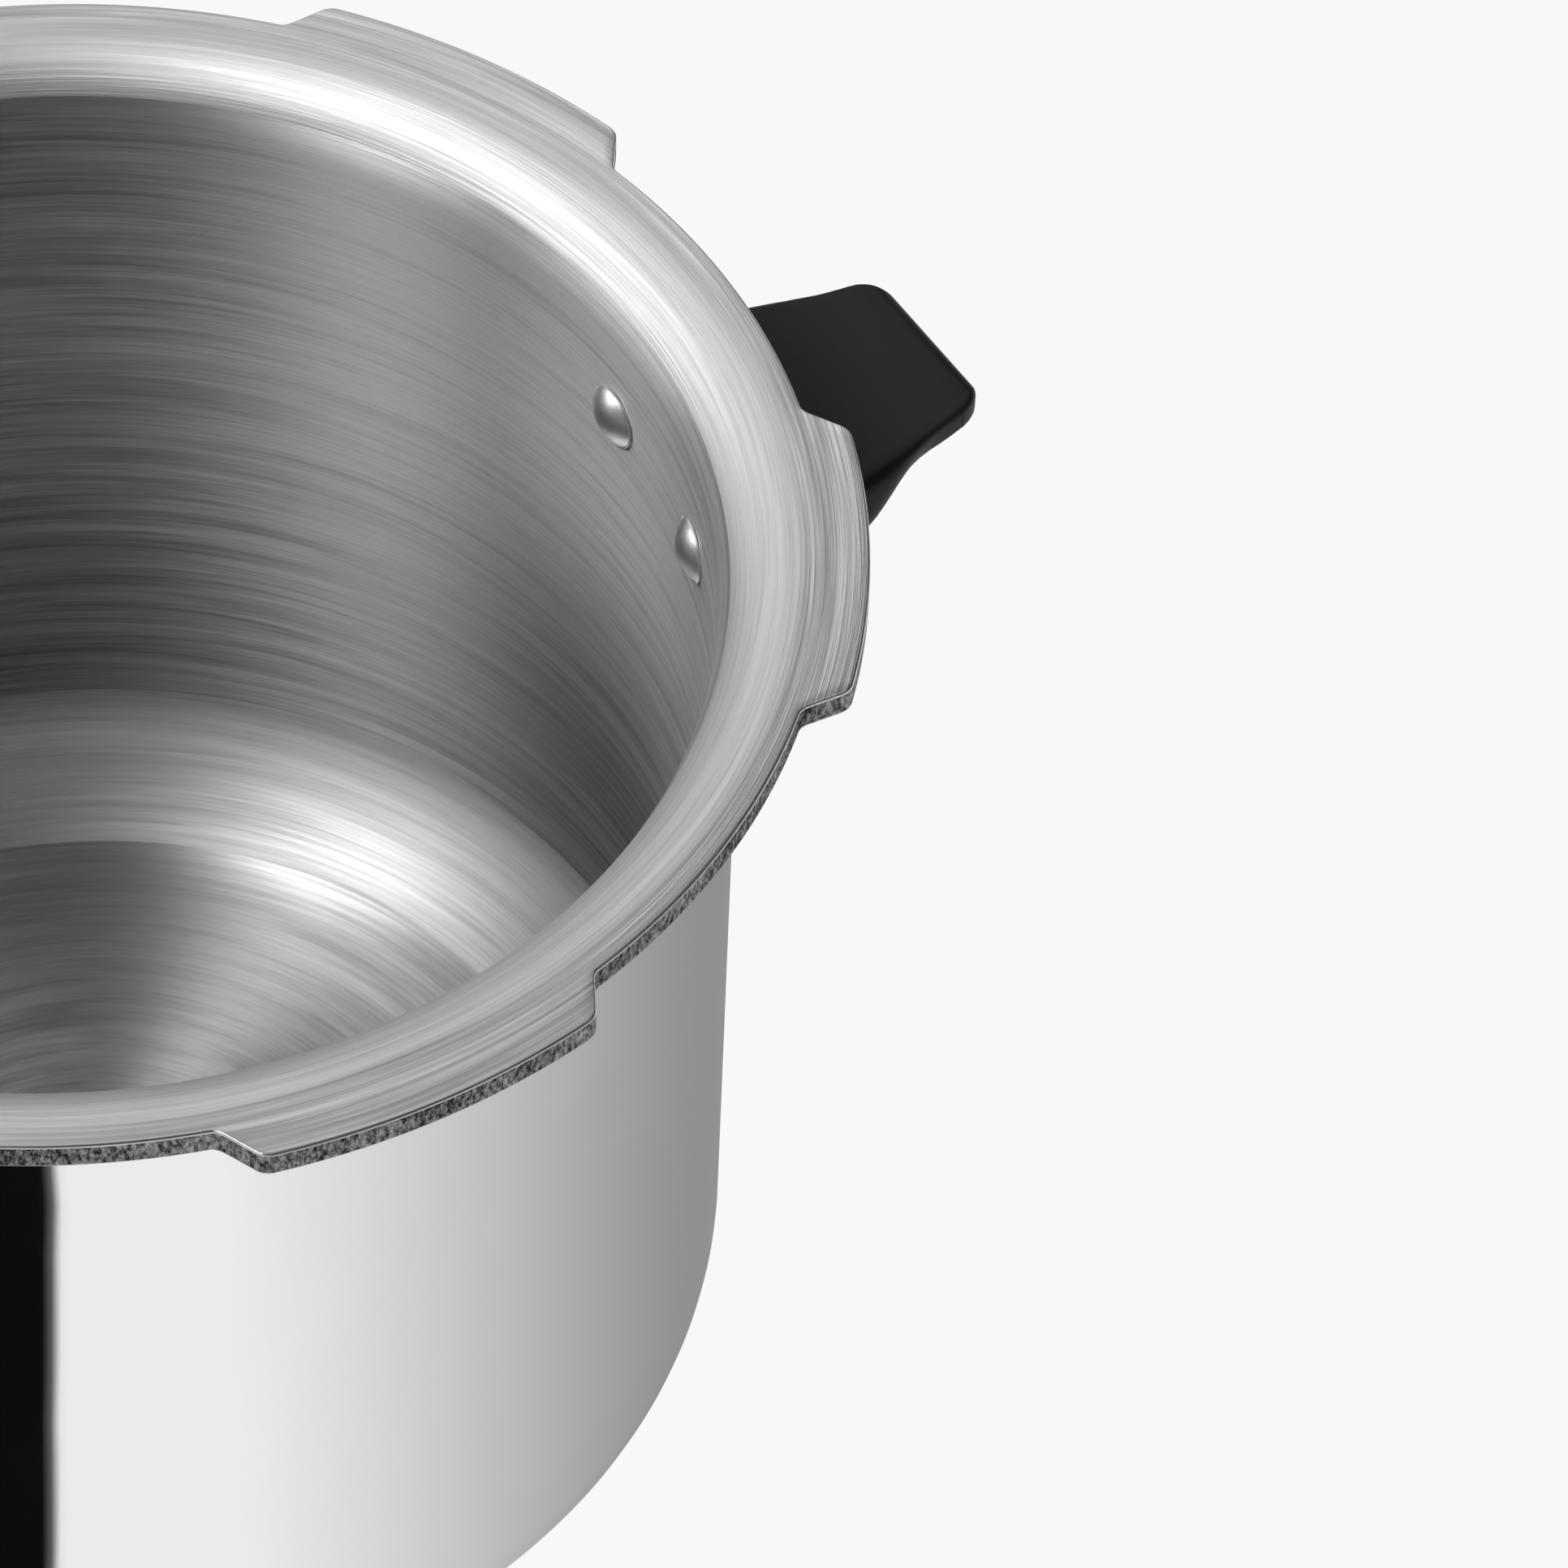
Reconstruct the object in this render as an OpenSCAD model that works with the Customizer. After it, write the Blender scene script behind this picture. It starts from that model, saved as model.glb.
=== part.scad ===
// Stovetop pressure cooker: an outer-lid, bayonet-closing pan of about 5 litres, standing open
// with its lid lying upright on the same surface beside it.
// The origin is the centre of the pan's base. +Z is up, the helper handle points along +X and
// the long handle along -X.

/* [Pan] */
// Height of the pan, base to rim
pan_h = 177; // [150:1:200]
// Outer radius of the pan's wall
wall_r = 105; // [102:0.5:106]
// Thickness of the wall
wall_t = 3.6; // [3:0.1:4]
// Thickness of the base
base_t = 4.5; // [4:0.1:6]
// Radius of the corner between wall and base, outside
corner_r = 23.7; // [15:0.1:26]
// Radius of the corner between wall and base, inside
inner_corner_r = 26; // [20:0.5:30]

/* [Rim and lugs] */
// Outer radius of the rim's flange
flange_r = 118; // [117:0.1:118.5]
// Thickness of the flange and its lugs
flange_t = 4.6; // [4:0.1:5]
// Radius of the flare from the wall up into the flange
flare_r = 13; // [10:0.5:14]
// Radius over the tips of the lugs
lug_r = 124.4; // [123:0.1:125]
// Number of lugs on the rim and under the lid
lug_count = 6; // [6:1:6]
// Angle of the first lug's centre from the helper handle
lug_start = 35.6; // [30:0.1:40]
// Half angle of a lug at its root
lug_root_a = 15.2; // [14:0.1:16]
// Half angle of a lug at its tip, to the centre of its rounded corner
lug_tip_a = 11.9; // [11:0.1:13]

/* [Helper handle] */
// Distance of the handle's tip from the pan's axis
helper_out = 150.5; // [146:0.5:156]
// Half width at the root and at the tip
helper_root_w = 24; // [22:0.5:26]
// Half width at the tip
helper_tip_w = 16.5; // [14:0.5:18]
// Depth of the rivets below the rim
rivet_drop = 28.4; // [26:0.1:30]
// Angle of each rivet from its handle's centre line
rivet_a = 8.85; // [7:0.05:10]

/* [Long handle] */
// Distance of the long handles' ends from the pan's axis
long_out = 288; // [260:1:310]
// Half width of the long handles at their middle
long_w = 12.5; // [11:0.5:14]
// Radius of the hanging eye
eye_r = 4.5; // [4:0.5:5]

/* [Lid] */
// Inner radius of the skirt
skirt_r = 126; // [125.8:0.1:127]
// Thickness of the lid's metal
lid_t = 2.8; // [2.4:0.1:3]
// Height of the dome's top above the rim
dome_h = 34; // [30:1:38]
// Inner radius over the lid's lugs
lid_lug_r = 119; // [118.6:0.1:120]
// Half angle of a lid lug
lid_lug_a = 12; // [10:0.5:12.5]
// Centre of the lying lid, along X
lid_x = -230; // [-260:1:-220]
// Centre of the lying lid, along Y
lid_y = 190; // [180:1:220]
// Turn of the lying lid about its own axis
lid_turn = -75; // [-90:1:-60]

/* [Valves] */
// Radius of the pressure weight
weight_r = 15.5; // [14:0.5:17]
// Height of the vent pipe above the dome
vent_h = 21; // [18:0.5:24]
// Distance of the safety plug and the indicator from the lid's centre
valve_d = 42; // [38:1:46]
// Free play between a part that slides and its guide
play = 0.06; // [0.05:0.01:0.1]

/* [Hidden] */
$fn = 96;

over = 1;                               // how far a cut runs past the face it opens
inner_r = wall_r - wall_t;              // radius inside the wall
under_r = 8;                            // fillet under the flange
lug_tip_r = 3.2;                        // rounding of a lug's corners
pan_z = pan_h;                          // height of the rim plane
lug_pitch = 360 / lug_count;

// Lid sections, in the lid's own frame: the rim plane is z = 0 and its handle points along -X
seal_h = 7.2;                           // ceiling of the gasket's channel above the rim
seal_gap = 0.1;                         // gasket to rim and to ceiling
lid_lug_gap = 0.3;                      // pan lug to lid lug
lid_lug_t = 3.6;                        // thickness of a lid lug
skirt_low = -flange_t - lid_lug_gap - lid_lug_t - 0.5;
dome_r = 238;                           // inner radius of the dome's sphere
dome_z = dome_h - lid_t - dome_r;       // centre of that sphere
lid_seat_z = -skirt_low;                // rim plane of the lid as it lies on the surface

// Brackets: a saddle on the wall and a tongue into the handle
saddle_t = 2;
saddle_low = -41;
saddle_high = -22;
saddle_a = 12.3;
tongue_t = 2.5;
tongue_low = -39;
fit = 0.05;                             // gap between pieces that are clamped together

// Rivets
rivet_r = 2.4;
rivet_head_r = 5.5;
rivet_head_h = 2.6;
rivet_tail_r = 3.8;
rivet_tail_h = 1.8;

// Screws
screw_r = 2.2;
screw_head_r = 4.2;
screw_head_h = 2.8;
slot_w = 1.2;

// ---- shared shapes ----

// Square corner between two faces, filled outside a circle of radius r: the material of a fillet
module fillet_2d(r) {
    difference() {
        square(r);
        translate([r, r])
            circle(r);
    }
}

// Rectangle from [x0, y0] to [x1, y1]
module box_2d(x0, y0, x1, y1) {
    translate([x0, y0])
        square([x1 - x0, y1 - y0]);
}

// Places its children at each lug
module at_lugs() {
    for (i = [0 : lug_count - 1])
        rotate([0, 0, lug_start + i * lug_pitch])
            children();
}

// Places its children on the wall at rivet height, on both sides of a handle's centre line,
// with +X pointing outwards
module at_rivets() {
    for (side = [-1, 1])
        rotate([0, 0, side * rivet_a])
            translate([0, 0, pan_z - rivet_drop])
                children();
}

// Domed head of radius r and height h, standing on z = 0
module dome_head(r, h) {
    ball = (r * r + h * h) / (2 * h);
    intersection() {
        translate([0, 0, h - ball])
            sphere(ball);
        cylinder(r = r, h = h + over);
    }
}

// Screw with a slotted head at z = 0 and its shank going up
module screw(length) {
    difference() {
        translate([0, 0, -screw_head_h])
            cylinder(r = screw_head_r, h = screw_head_h);
        translate([-screw_head_r - over, -slot_w / 2, -screw_head_h - over])
            cube([2 * (screw_head_r + over), slot_w, over + 1]);
    }
    translate([0, 0, -fit])
        cylinder(r = screw_r, h = length);
}

// Hexagonal prism, measured across its corners
module hex(r, h) {
    cylinder(r = r, h = h, $fn = 6);
}

// A handle seen from the side becomes a solid of half width w
module side_extrude(w) {
    translate([0, w, 0])
        rotate([90, 0, 0])
            linear_extrude(2 * w)
                children();
}

// ---- pan ----

module pan_profile() {
    difference() {
        union() {
            box_2d(0, corner_r, wall_r, pan_h);
            box_2d(0, 0, wall_r - corner_r, pan_h);
            translate([wall_r - corner_r, corner_r])
                circle(corner_r);
            box_2d(0, pan_h - flange_t, flange_r, pan_h);
            translate([wall_r, pan_h - flange_t])
                mirror([0, 1])
                    fillet_2d(under_r);
        }
        // the hollow, with its rounded lower corner and its flared mouth
        box_2d(-over, base_t + inner_corner_r, inner_r, pan_h + over);
        box_2d(-over, base_t, inner_r - inner_corner_r, pan_h);
        intersection() {
            translate([inner_r - inner_corner_r, base_t + inner_corner_r])
                circle(inner_corner_r);
            box_2d(0, 0, inner_r, pan_h);
        }
        difference() {
            box_2d(0, pan_h - flare_r, inner_r + flare_r, pan_h + over);
            translate([inner_r + flare_r, pan_h - flare_r])
                circle(flare_r);
        }
        box_2d(-wall_r - over, -over, 0, pan_h + over);
    }
}

// Outline of one lug, centred on +X, with a little of the flange that it stands on
module lug_plan() {
    corner = lug_r - lug_tip_r;
    keep_r = flange_r - 2;
    difference() {
        union() {
            intersection() {
                circle(lug_r);
                polygon([
                    [0, 0],
                    [2 * corner * cos(lug_tip_a), -2 * corner * sin(lug_tip_a)],
                    [2 * corner * cos(lug_tip_a), 2 * corner * sin(lug_tip_a)]
                ]);
            }
            for (side = [-1, 1])
                lug_end(corner * [cos(lug_tip_a), side * sin(lug_tip_a)], side);
        }
        circle(keep_r);
    }
}

// Rounded corner of a lug, centred on end, and the slope from it down to the flange
module lug_end(end, side) {
    root = flange_r * [cos(lug_root_a), side * sin(lug_root_a)];
    heading = atan2(root[1] - end[1], root[0] - end[0]);
    lean = heading - side * acos(lug_tip_r / norm(root - end));
    translate(end)
        circle(lug_tip_r);
    polygon([
        end,
        end + lug_tip_r * [cos(lean), sin(lean)],
        root,
        0.9 * root,
        0.9 * flange_r * [1, 0]
    ]);
}

module pan() {
    color("gainsboro")
    difference() {
        union() {
            rotate_extrude()
                pan_profile();
            at_lugs()
                translate([0, 0, pan_h - flange_t])
                    linear_extrude(flange_t)
                        lug_plan();
        }
        for (turn = [0, 180])
            rotate([0, 0, turn])
                at_rivets()
                    translate([inner_r - over - 1, 0, 0])
                        rotate([0, 90, 0])
                            cylinder(r = rivet_r + fit, h = wall_t + 2 * over + 2);
    }
}

// ---- brackets, rivets and screws of the pan's handles ----

// Saddle round the wall with a tongue reaching out to tongue_out, tapped at each screw
module wall_bracket(tongue_out, tongue_w, screws) {
    in = wall_r + fit;
    out = in + saddle_t;
    z0 = pan_z + saddle_low;
    z1 = pan_z + saddle_high;
    difference() {
        union() {
            intersection() {
                translate([0, 0, z0])
                    cylinder(r = out, h = z1 - z0);
                translate([0, 0, z0 - over])
                    linear_extrude(z1 - z0 + 2 * over)
                        polygon([
                            [0, 0],
                            [2 * out * cos(saddle_a), -2 * out * sin(saddle_a)],
                            [2 * out * cos(saddle_a), 2 * out * sin(saddle_a)]
                        ]);
            }
            translate([in * cos(saddle_a), -tongue_w, pan_z + tongue_low])
                cube([tongue_out - in * cos(saddle_a), 2 * tongue_w, tongue_t]);
        }
        translate([0, 0, z0 - over])
            cylinder(r = in, h = z1 - z0 + 2 * over);
        at_rivets()
            translate([wall_r - over, 0, 0])
                rotate([0, 90, 0])
                    cylinder(r = rivet_r + fit, h = saddle_t + 2 * over + 1);
        for (x = screws)
            translate([x, 0, pan_z + tongue_low - over])
                cylinder(r = screw_r + fit, h = tongue_t + 2 * over);
    }
}

// Two rivets through wall and saddle: domed heads inside, flat tails outside
module wall_rivets() {
    seat = sqrt(inner_r * inner_r - rivet_head_r * rivet_head_r);
    tail = wall_r + saddle_t + 2 * fit;
    at_rivets() {
        translate([seat, 0, 0])
            rotate([0, -90, 0])
                dome_head(rivet_head_r, rivet_head_h);
        translate([seat - fit, 0, 0])
            rotate([0, 90, 0])
                cylinder(r = rivet_r, h = tail - seat + 2 * fit);
        translate([tail, 0, 0])
            rotate([0, 90, 0])
                cylinder(r = rivet_tail_r, h = rivet_tail_h);
    }
}

// Room that a handle leaves for the wall, the saddle, the rivet tails and the tongue
module bracket_room(tongue_out, tongue_w) {
    in = wall_r + saddle_t + 3 * fit;
    translate([0, 0, pan_z - 100])
        cylinder(r = wall_r + 2 * fit, h = 200);
    intersection() {
        translate([0, 0, pan_z + saddle_low - fit])
            cylinder(r = in, h = saddle_high - saddle_low + 2 * fit);
        translate([0, 0, pan_z + saddle_low - over])
            linear_extrude(saddle_high - saddle_low + 2 * over)
                polygon([
                    [0, 0],
                    [2 * in * cos(saddle_a + 0.3), -2 * in * sin(saddle_a + 0.3)],
                    [2 * in * cos(saddle_a + 0.3), 2 * in * sin(saddle_a + 0.3)]
                ]);
    }
    at_rivets()
        translate([wall_r, 0, 0])
            rotate([0, 90, 0])
                cylinder(r = rivet_tail_r + 0.4, h = saddle_t + rivet_tail_h + 0.6);
    translate([wall_r - 3, -tongue_w - fit, pan_z + tongue_low - fit])
        cube([tongue_out - wall_r + 3 + fit, 2 * (tongue_w + fit), tongue_t + 2 * fit]);
}

// Hole for a screw that comes from below, with a recess for its head down to z = low
module screw_hole(head_z, low, top) {
    translate([0, 0, head_z])
        cylinder(r = screw_r + fit, h = top - head_z);
    translate([0, 0, low - over])
        cylinder(r = screw_head_r + 0.3, h = head_z - low + over + fit);
}

// ---- helper handle ----

helper_tongue = 124;
helper_tongue_w = 9;
helper_screw_x = 117;
helper_low = -48;
helper_head_z = -43.5;
helper_lip_r = 2.6;
helper_lip_z = -16.5;

// Side view: a wedge on the wall that ends in a thin, rounded lip for the fingers
module helper_side() {
    lip = [helper_out - helper_lip_r, helper_lip_z];
    polygon(concat(
        [
            [wall_r - 3, -17],
            [118, -18.6],
            [126, -18.9]
        ],
        [for (a = [105 : -15 : -75]) lip + helper_lip_r * [cos(a), sin(a)]],
        [
            [139.4, -21.6],
            [125.5, helper_low],
            [wall_r - 3, helper_low]
        ]
    ));
}

// Plan view: tapering towards the tip, with rounded corners and a slightly bowed end
module helper_plan() {
    round_r = 5;
    bow_r = 90;
    bow_x = helper_out - bow_r;
    intersection() {
        polygon([
            [wall_r - 4, -helper_root_w - 1],
            [helper_out - 4, -helper_tip_w],
            [helper_out + 4, -helper_tip_w + 1.4],
            [helper_out + 4, helper_tip_w - 1.4],
            [helper_out - 4, helper_tip_w],
            [wall_r - 4, helper_root_w + 1]
        ]);
        union() {
            box_2d(0, -60, helper_out - round_r - 1.4, 60);
            translate([bow_x, 0])
                intersection() {
                    circle(bow_r);
                    box_2d(0, round_r - helper_tip_w, bow_r, helper_tip_w - round_r);
                }
            for (side = [-1, 1])
                translate([helper_out - round_r - 1.4, side * (helper_tip_w - round_r)])
                    circle(round_r);
        }
    }
}

module helper_handle() {
    color([0.13, 0.13, 0.13])
    difference() {
        intersection() {
            translate([0, 0, pan_z])
                side_extrude(40)
                    helper_side();
            translate([0, 0, pan_z - 60])
                linear_extrude(60)
                    helper_plan();
        }
        bracket_room(helper_tongue, helper_tongue_w);
        translate([helper_screw_x, 0, 0])
            screw_hole(pan_z + helper_head_z, pan_z + helper_low, pan_z - 30);
    }
}

module helper_bracket() {
    color("silver")
    wall_bracket(helper_tongue, helper_tongue_w, [helper_screw_x]);
}

module helper_rivets() {
    color("whitesmoke")
    wall_rivets();
}

module helper_screw() {
    color("silver")
    translate([helper_screw_x, 0, pan_z + helper_head_z])
        screw(12);
}

// ---- long handle of the pan ----

long_tongue = 150;
long_tongue_w = 8;
long_screws = [121, 142];
long_top_in = -12;                      // top of the root, under the lid's skirt
long_top = -3.2;                        // top of the grip
long_low_root = -46;
long_low = -25;
long_head_z = -42.5;
step_in = 131.5;
step_out = 135;
eye_x = long_out - 13;

// Side view along +X: deep at the wall, stepped down under the lid's skirt, then a straight grip
module long_side() {
    polygon([
        [wall_r - 3, long_top_in - 3],
        [wall_r + 6, long_top_in],
        [step_in, long_top_in],
        [step_out, long_top],
        [long_out + over, long_top],
        [long_out + over, long_low],
        [long_out - 40, long_low],
        [215, long_low - 1.5],
        [190, long_low - 1.5],
        [168, long_low - 3.5],
        [150, long_low_root],
        [wall_r - 3, long_low_root]
    ]);
}

// Plan view along +X: waisted grip with a round end
module long_plan(root_w, start) {
    end_r = long_w + 2;
    polygon([
        [start, -root_w],
        [start + 14, -root_w],
        [start + 40, -long_w - 2],
        [start + 60, -long_w],
        [long_out - 70, -long_w],
        [long_out - end_r, -end_r],
        [long_out - end_r, end_r],
        [long_out - 70, long_w],
        [start + 60, long_w],
        [start + 40, long_w + 2],
        [start + 14, root_w],
        [start, root_w]
    ]);
    translate([long_out - end_r, 0])
        circle(end_r);
}

module long_handle() {
    color([0.13, 0.13, 0.13])
    rotate([0, 0, 180])
    difference() {
        intersection() {
            translate([0, 0, pan_z])
                side_extrude(40)
                    long_side();
            translate([0, 0, pan_z - 60])
                linear_extrude(60)
                    long_plan(24.5, wall_r - 3);
        }
        bracket_room(long_tongue, long_tongue_w);
        for (x = long_screws)
            translate([x, 0, 0])
                screw_hole(pan_z + long_head_z, pan_z + long_low_root, pan_z - 28);
        translate([eye_x, 0, pan_z - 60])
            cylinder(r = eye_r, h = 80);
    }
}

module long_bracket() {
    color("silver")
    rotate([0, 0, 180])
        wall_bracket(long_tongue, long_tongue_w, long_screws);
}

module long_rivets() {
    color("whitesmoke")
    rotate([0, 0, 180])
        wall_rivets();
}

module long_handle_screws() {
    color("silver")
    rotate([0, 0, 180])
        for (x = long_screws)
            translate([x, 0, pan_z + long_head_z])
                screw(12);
}

// ---- lid, in its own frame: rim plane at z = 0, handle along -X ----

// Moves a piece of the lid to where the lid lies
module lying() {
    translate([lid_x, lid_y, lid_seat_z])
        rotate([0, 0, lid_turn])
            children();
}

// Solid bounded by the lid's outside (t = lid_t) or by its inside (t = 0), as a half section
module lid_section(t, low) {
    edge_r = 2.5 + 1.2 * t;
    top = seal_h + t;
    side = skirt_r + t;
    box_2d(0, low, side, top - edge_r);
    box_2d(0, low, side - edge_r, top);
    translate([side - edge_r, top - edge_r])
        circle(edge_r);
    intersection() {
        translate([0, dome_z])
            circle(dome_r + t, $fn = 720);
        box_2d(0, low, 125, dome_h + over);
    }
}

module at_safety() {
    rotate([0, 0, 125])
        translate([valve_d, 0, 0])
            children();
}

module at_indicator() {
    rotate([0, 0, 180])
        translate([valve_d, 0, 0])
            children();
}

seat_r = 12.5;                          // flat seats pressed into the dome
seat_face_r = 10;
vent_seat_low = dome_h - lid_t - 0.6;
vent_seat_high = dome_h - 0.2;
valve_seat_low = 25.2;
valve_seat_high = 29.4;
stud_r = 5;                             // threaded shanks of vent, plug and bush
nut_r = 8.6;
nut_h = 4.5;
washer_h = 1.2;

// Half section of the lid's metal, with the vent's flat seat and hole in the middle
module lid_wall_2d() {
    difference() {
        union() {
            difference() {
                lid_section(lid_t, skirt_low);
                lid_section(0, skirt_low - over);
            }
            box_2d(0, vent_seat_low, seat_r, vent_seat_high - over);
        }
        box_2d(-400, -400, 0, 400);
        box_2d(-over, vent_seat_high, seat_r, dome_h + over);
        box_2d(-over, 0, stud_r + fit, dome_h + over);
    }
}

// Flat seat off the centre, and the room that frees its faces and its hole
module valve_seat() {
    translate([0, 0, valve_seat_low])
        cylinder(r = seat_r, h = valve_seat_high - valve_seat_low);
}

module valve_seat_room() {
    translate([0, 0, valve_seat_high])
        cylinder(r = seat_face_r, h = 12);
    translate([0, 0, valve_seat_low - 12])
        cylinder(r = seat_face_r, h = 12);
    translate([0, 0, valve_seat_low - over])
        cylinder(r = stud_r + fit, h = valve_seat_high - valve_seat_low + 2 * over);
}

module lid_lug_plan() {
    difference() {
        intersection() {
            circle(skirt_r + lid_t / 2);
            polygon([
                [0, 0],
                [2 * skirt_r * cos(lid_lug_a), -2 * skirt_r * sin(lid_lug_a)],
                [2 * skirt_r * cos(lid_lug_a), 2 * skirt_r * sin(lid_lug_a)]
            ]);
        }
        circle(lid_lug_r);
    }
}

lid_rivet_tilt = 20.5;                  // lean of the lid bracket's rivets on the dome

// Places its children on the dome's outside over the bracket's pad, +Z along the dome's normal
module at_lid_rivets() {
    for (side = [-1, 1])
        translate([0, 0, dome_z])
            rotate([0, -lid_rivet_tilt, side * 5.2])
                translate([0, 0, dome_r + lid_t])
                    children();
}

module lid_shell() {
    color("gainsboro")
    lying()
    difference() {
        union() {
            rotate_extrude()
                lid_wall_2d();
            at_lugs()
                translate([0, 0, -flange_t - lid_lug_gap - lid_lug_t])
                    linear_extrude(lid_lug_t)
                        lid_lug_plan();
            at_safety()
                valve_seat();
            at_indicator()
                valve_seat();
        }
        at_safety()
            valve_seat_room();
        at_indicator()
            valve_seat_room();
        at_lid_rivets()
            translate([0, 0, -lid_t - 3])
                cylinder(r = rivet_r + fit, h = lid_t + 6);
        // window in the skirt that lets the gasket bulge out if the vent is blocked
        translate([skirt_r - 3, -12, 0.8])
            cube([8, 24, 5]);
    }
}

// ---- lid bracket and handle ----

pad_t = 2;
pad_in = 74;
pad_out = 101;
pad_w = 14;
arm_w = 9;
arm_z = 13.2;
arm_t = 2.5;
arm_out = 158;
lid_screws = [139, 151];
lid_head_z = 3;
lid_grip_low = -2.2;

module lid_bracket() {
    color("silver")
    lying()
    difference() {
        union() {
            // pad that follows the dome
            intersection() {
                translate([0, 0, dome_z])
                    sphere(dome_r + lid_t + fit + pad_t, $fn = 360);
                translate([-pad_out, -pad_w, 0])
                    cube([pad_out - pad_in, 2 * pad_w, 60]);
            }
            translate([-arm_out, -arm_w, arm_z])
                cube([arm_out - pad_out + 7, 2 * arm_w, arm_t]);
        }
        translate([0, 0, dome_z])
            sphere(dome_r + lid_t + fit, $fn = 360);
        at_lid_rivets()
            translate([0, 0, -3])
                cylinder(r = rivet_r + fit, h = 10);
        for (x = lid_screws)
            translate([-x, 0, 0])
                cylinder(r = screw_r + fit, h = 40);
    }
}

module lid_rivets() {
    color("whitesmoke")
    lying()
    at_lid_rivets() {
        translate([0, 0, pad_t + 2 * fit])
            dome_head(4.5, 2);
        translate([0, 0, -lid_t - 1.2])
            cylinder(r = rivet_r, h = lid_t + 1.4 + pad_t + 2 * fit);
        translate([0, 0, -lid_t - 1.2])
            cylinder(r = rivet_tail_r, h = 1);
    }
}

// Side view along +X: a nose over the lid's shoulder, then a grip above the pan's handle
module lid_handle_side() {
    polygon([
        [107, seal_h + lid_t + 0.6],
        [107, 15],
        [112, 19.5],
        [122, 21],
        [190, 17.5],
        [225, 16.5],
        [long_out - 40, 17],
        [long_out + over, 13],
        [long_out + over, lid_grip_low],
        [skirt_r + lid_t + 1.2, lid_grip_low],
        [skirt_r + lid_t + 1.2, seal_h + lid_t + 0.6]
    ]);
}

module lid_handle() {
    color([0.13, 0.13, 0.13])
    lying()
    rotate([0, 0, 180])
    difference() {
        intersection() {
            side_extrude(40)
                lid_handle_side();
            translate([0, 0, -30])
                linear_extrude(60)
                    long_plan(16, 104);
        }
        translate([0, -arm_w - fit, arm_z - fit])
            cube([arm_out + fit, 2 * (arm_w + fit), arm_t + 2 * fit]);
        for (x = lid_screws)
            translate([x, 0, 0])
                screw_hole(lid_head_z, lid_grip_low, 17.4);
    }
}

module lid_handle_screws() {
    color("silver")
    lying()
    for (x = lid_screws)
        translate([-x, 0, lid_head_z])
            screw(14);
}

// ---- gasket ----

gasket_in = 107.5;
gasket_out = skirt_r - 0.3;
gasket_leg = 2.2;
gasket_web = 5;

// Ring of C section, open inwards so that the pressure spreads its two legs
module gasket() {
    color([0.35, 0.35, 0.37])
    lying()
    rotate_extrude()
        difference() {
            union() {
                box_2d(gasket_in, seal_gap, gasket_out - 3, seal_h - seal_gap);
                box_2d(gasket_in, seal_gap, gasket_out, seal_h - seal_gap - 3);
                translate([gasket_out - 3, seal_h - seal_gap - 3])
                    circle(3);
            }
            box_2d(
                gasket_in - over,
                seal_gap + gasket_leg,
                gasket_out - gasket_web,
                seal_h - seal_gap - gasket_leg
            );
        }
}

// ---- steam vent ----

vent_base = vent_seat_high;
vent_bore = 1.6;

module vent_pipe() {
    color("silver")
    lying()
    difference() {
        union() {
            translate([0, 0, vent_base + washer_h])
                hex(nut_r, 4);
            translate([0, 0, vent_seat_low - 9])
                cylinder(r = stud_r, h = 9 + vent_base - vent_seat_low + washer_h + over);
            translate([0, 0, vent_base + washer_h + 3])
                cylinder(r = 4.2, h = vent_h - washer_h - 4);
            translate([0, 0, vent_base + vent_h - 1])
                cylinder(r1 = 4.2, r2 = 3.2, h = 1);
        }
        translate([0, 0, 0])
            cylinder(r = vent_bore, h = 90);
    }
}

module flat_ring(r_out, r_in, h) {
    difference() {
        cylinder(r = r_out, h = h);
        translate([0, 0, -over])
            cylinder(r = r_in, h = h + 2 * over);
    }
}

module hex_nut(r_in) {
    difference() {
        hex(nut_r, nut_h);
        translate([0, 0, -over])
            cylinder(r = r_in, h = nut_h + 2 * over);
    }
}

module vent_washer() {
    color("dimgray")
    lying()
    translate([0, 0, vent_base])
        flat_ring(8.4, stud_r + fit, washer_h);
}

module vent_nut() {
    color("silver")
    lying()
    translate([0, 0, vent_seat_low - nut_h])
        hex_nut(stud_r + fit);
}

// ---- safety plug ----

module safety_plug() {
    color("goldenrod")
    lying()
    at_safety()
        difference() {
            union() {
                translate([0, 0, valve_seat_high + washer_h])
                    hex(nut_r, 4.5);
                translate([0, 0, valve_seat_high + washer_h + 3])
                    cylinder(r = 5.6, h = 5);
                translate([0, 0, valve_seat_low - 6])
                    cylinder(r = stud_r, h = 6 + valve_seat_high - valve_seat_low + washer_h + over);
            }
            cylinder(r = 2.6, h = 60);
        }
}

module safety_core() {
    color("lightsteelblue")
    lying()
    at_safety()
        translate([0, 0, valve_seat_low - 5.5])
            cylinder(r = 2.6, h = 16.5);
}

module safety_washer() {
    color("dimgray")
    lying()
    at_safety()
        translate([0, 0, valve_seat_high])
            flat_ring(8.4, stud_r + fit, washer_h);
}

module safety_nut() {
    color("goldenrod")
    lying()
    at_safety()
        translate([0, 0, valve_seat_low - nut_h])
            hex_nut(stud_r + fit);
}

// ---- pressure indicator ----

pin_r = 2.2;
pin_rise = 5;
bush_low = valve_seat_low - 6;
bush_high = valve_seat_high + 3.2;

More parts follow.
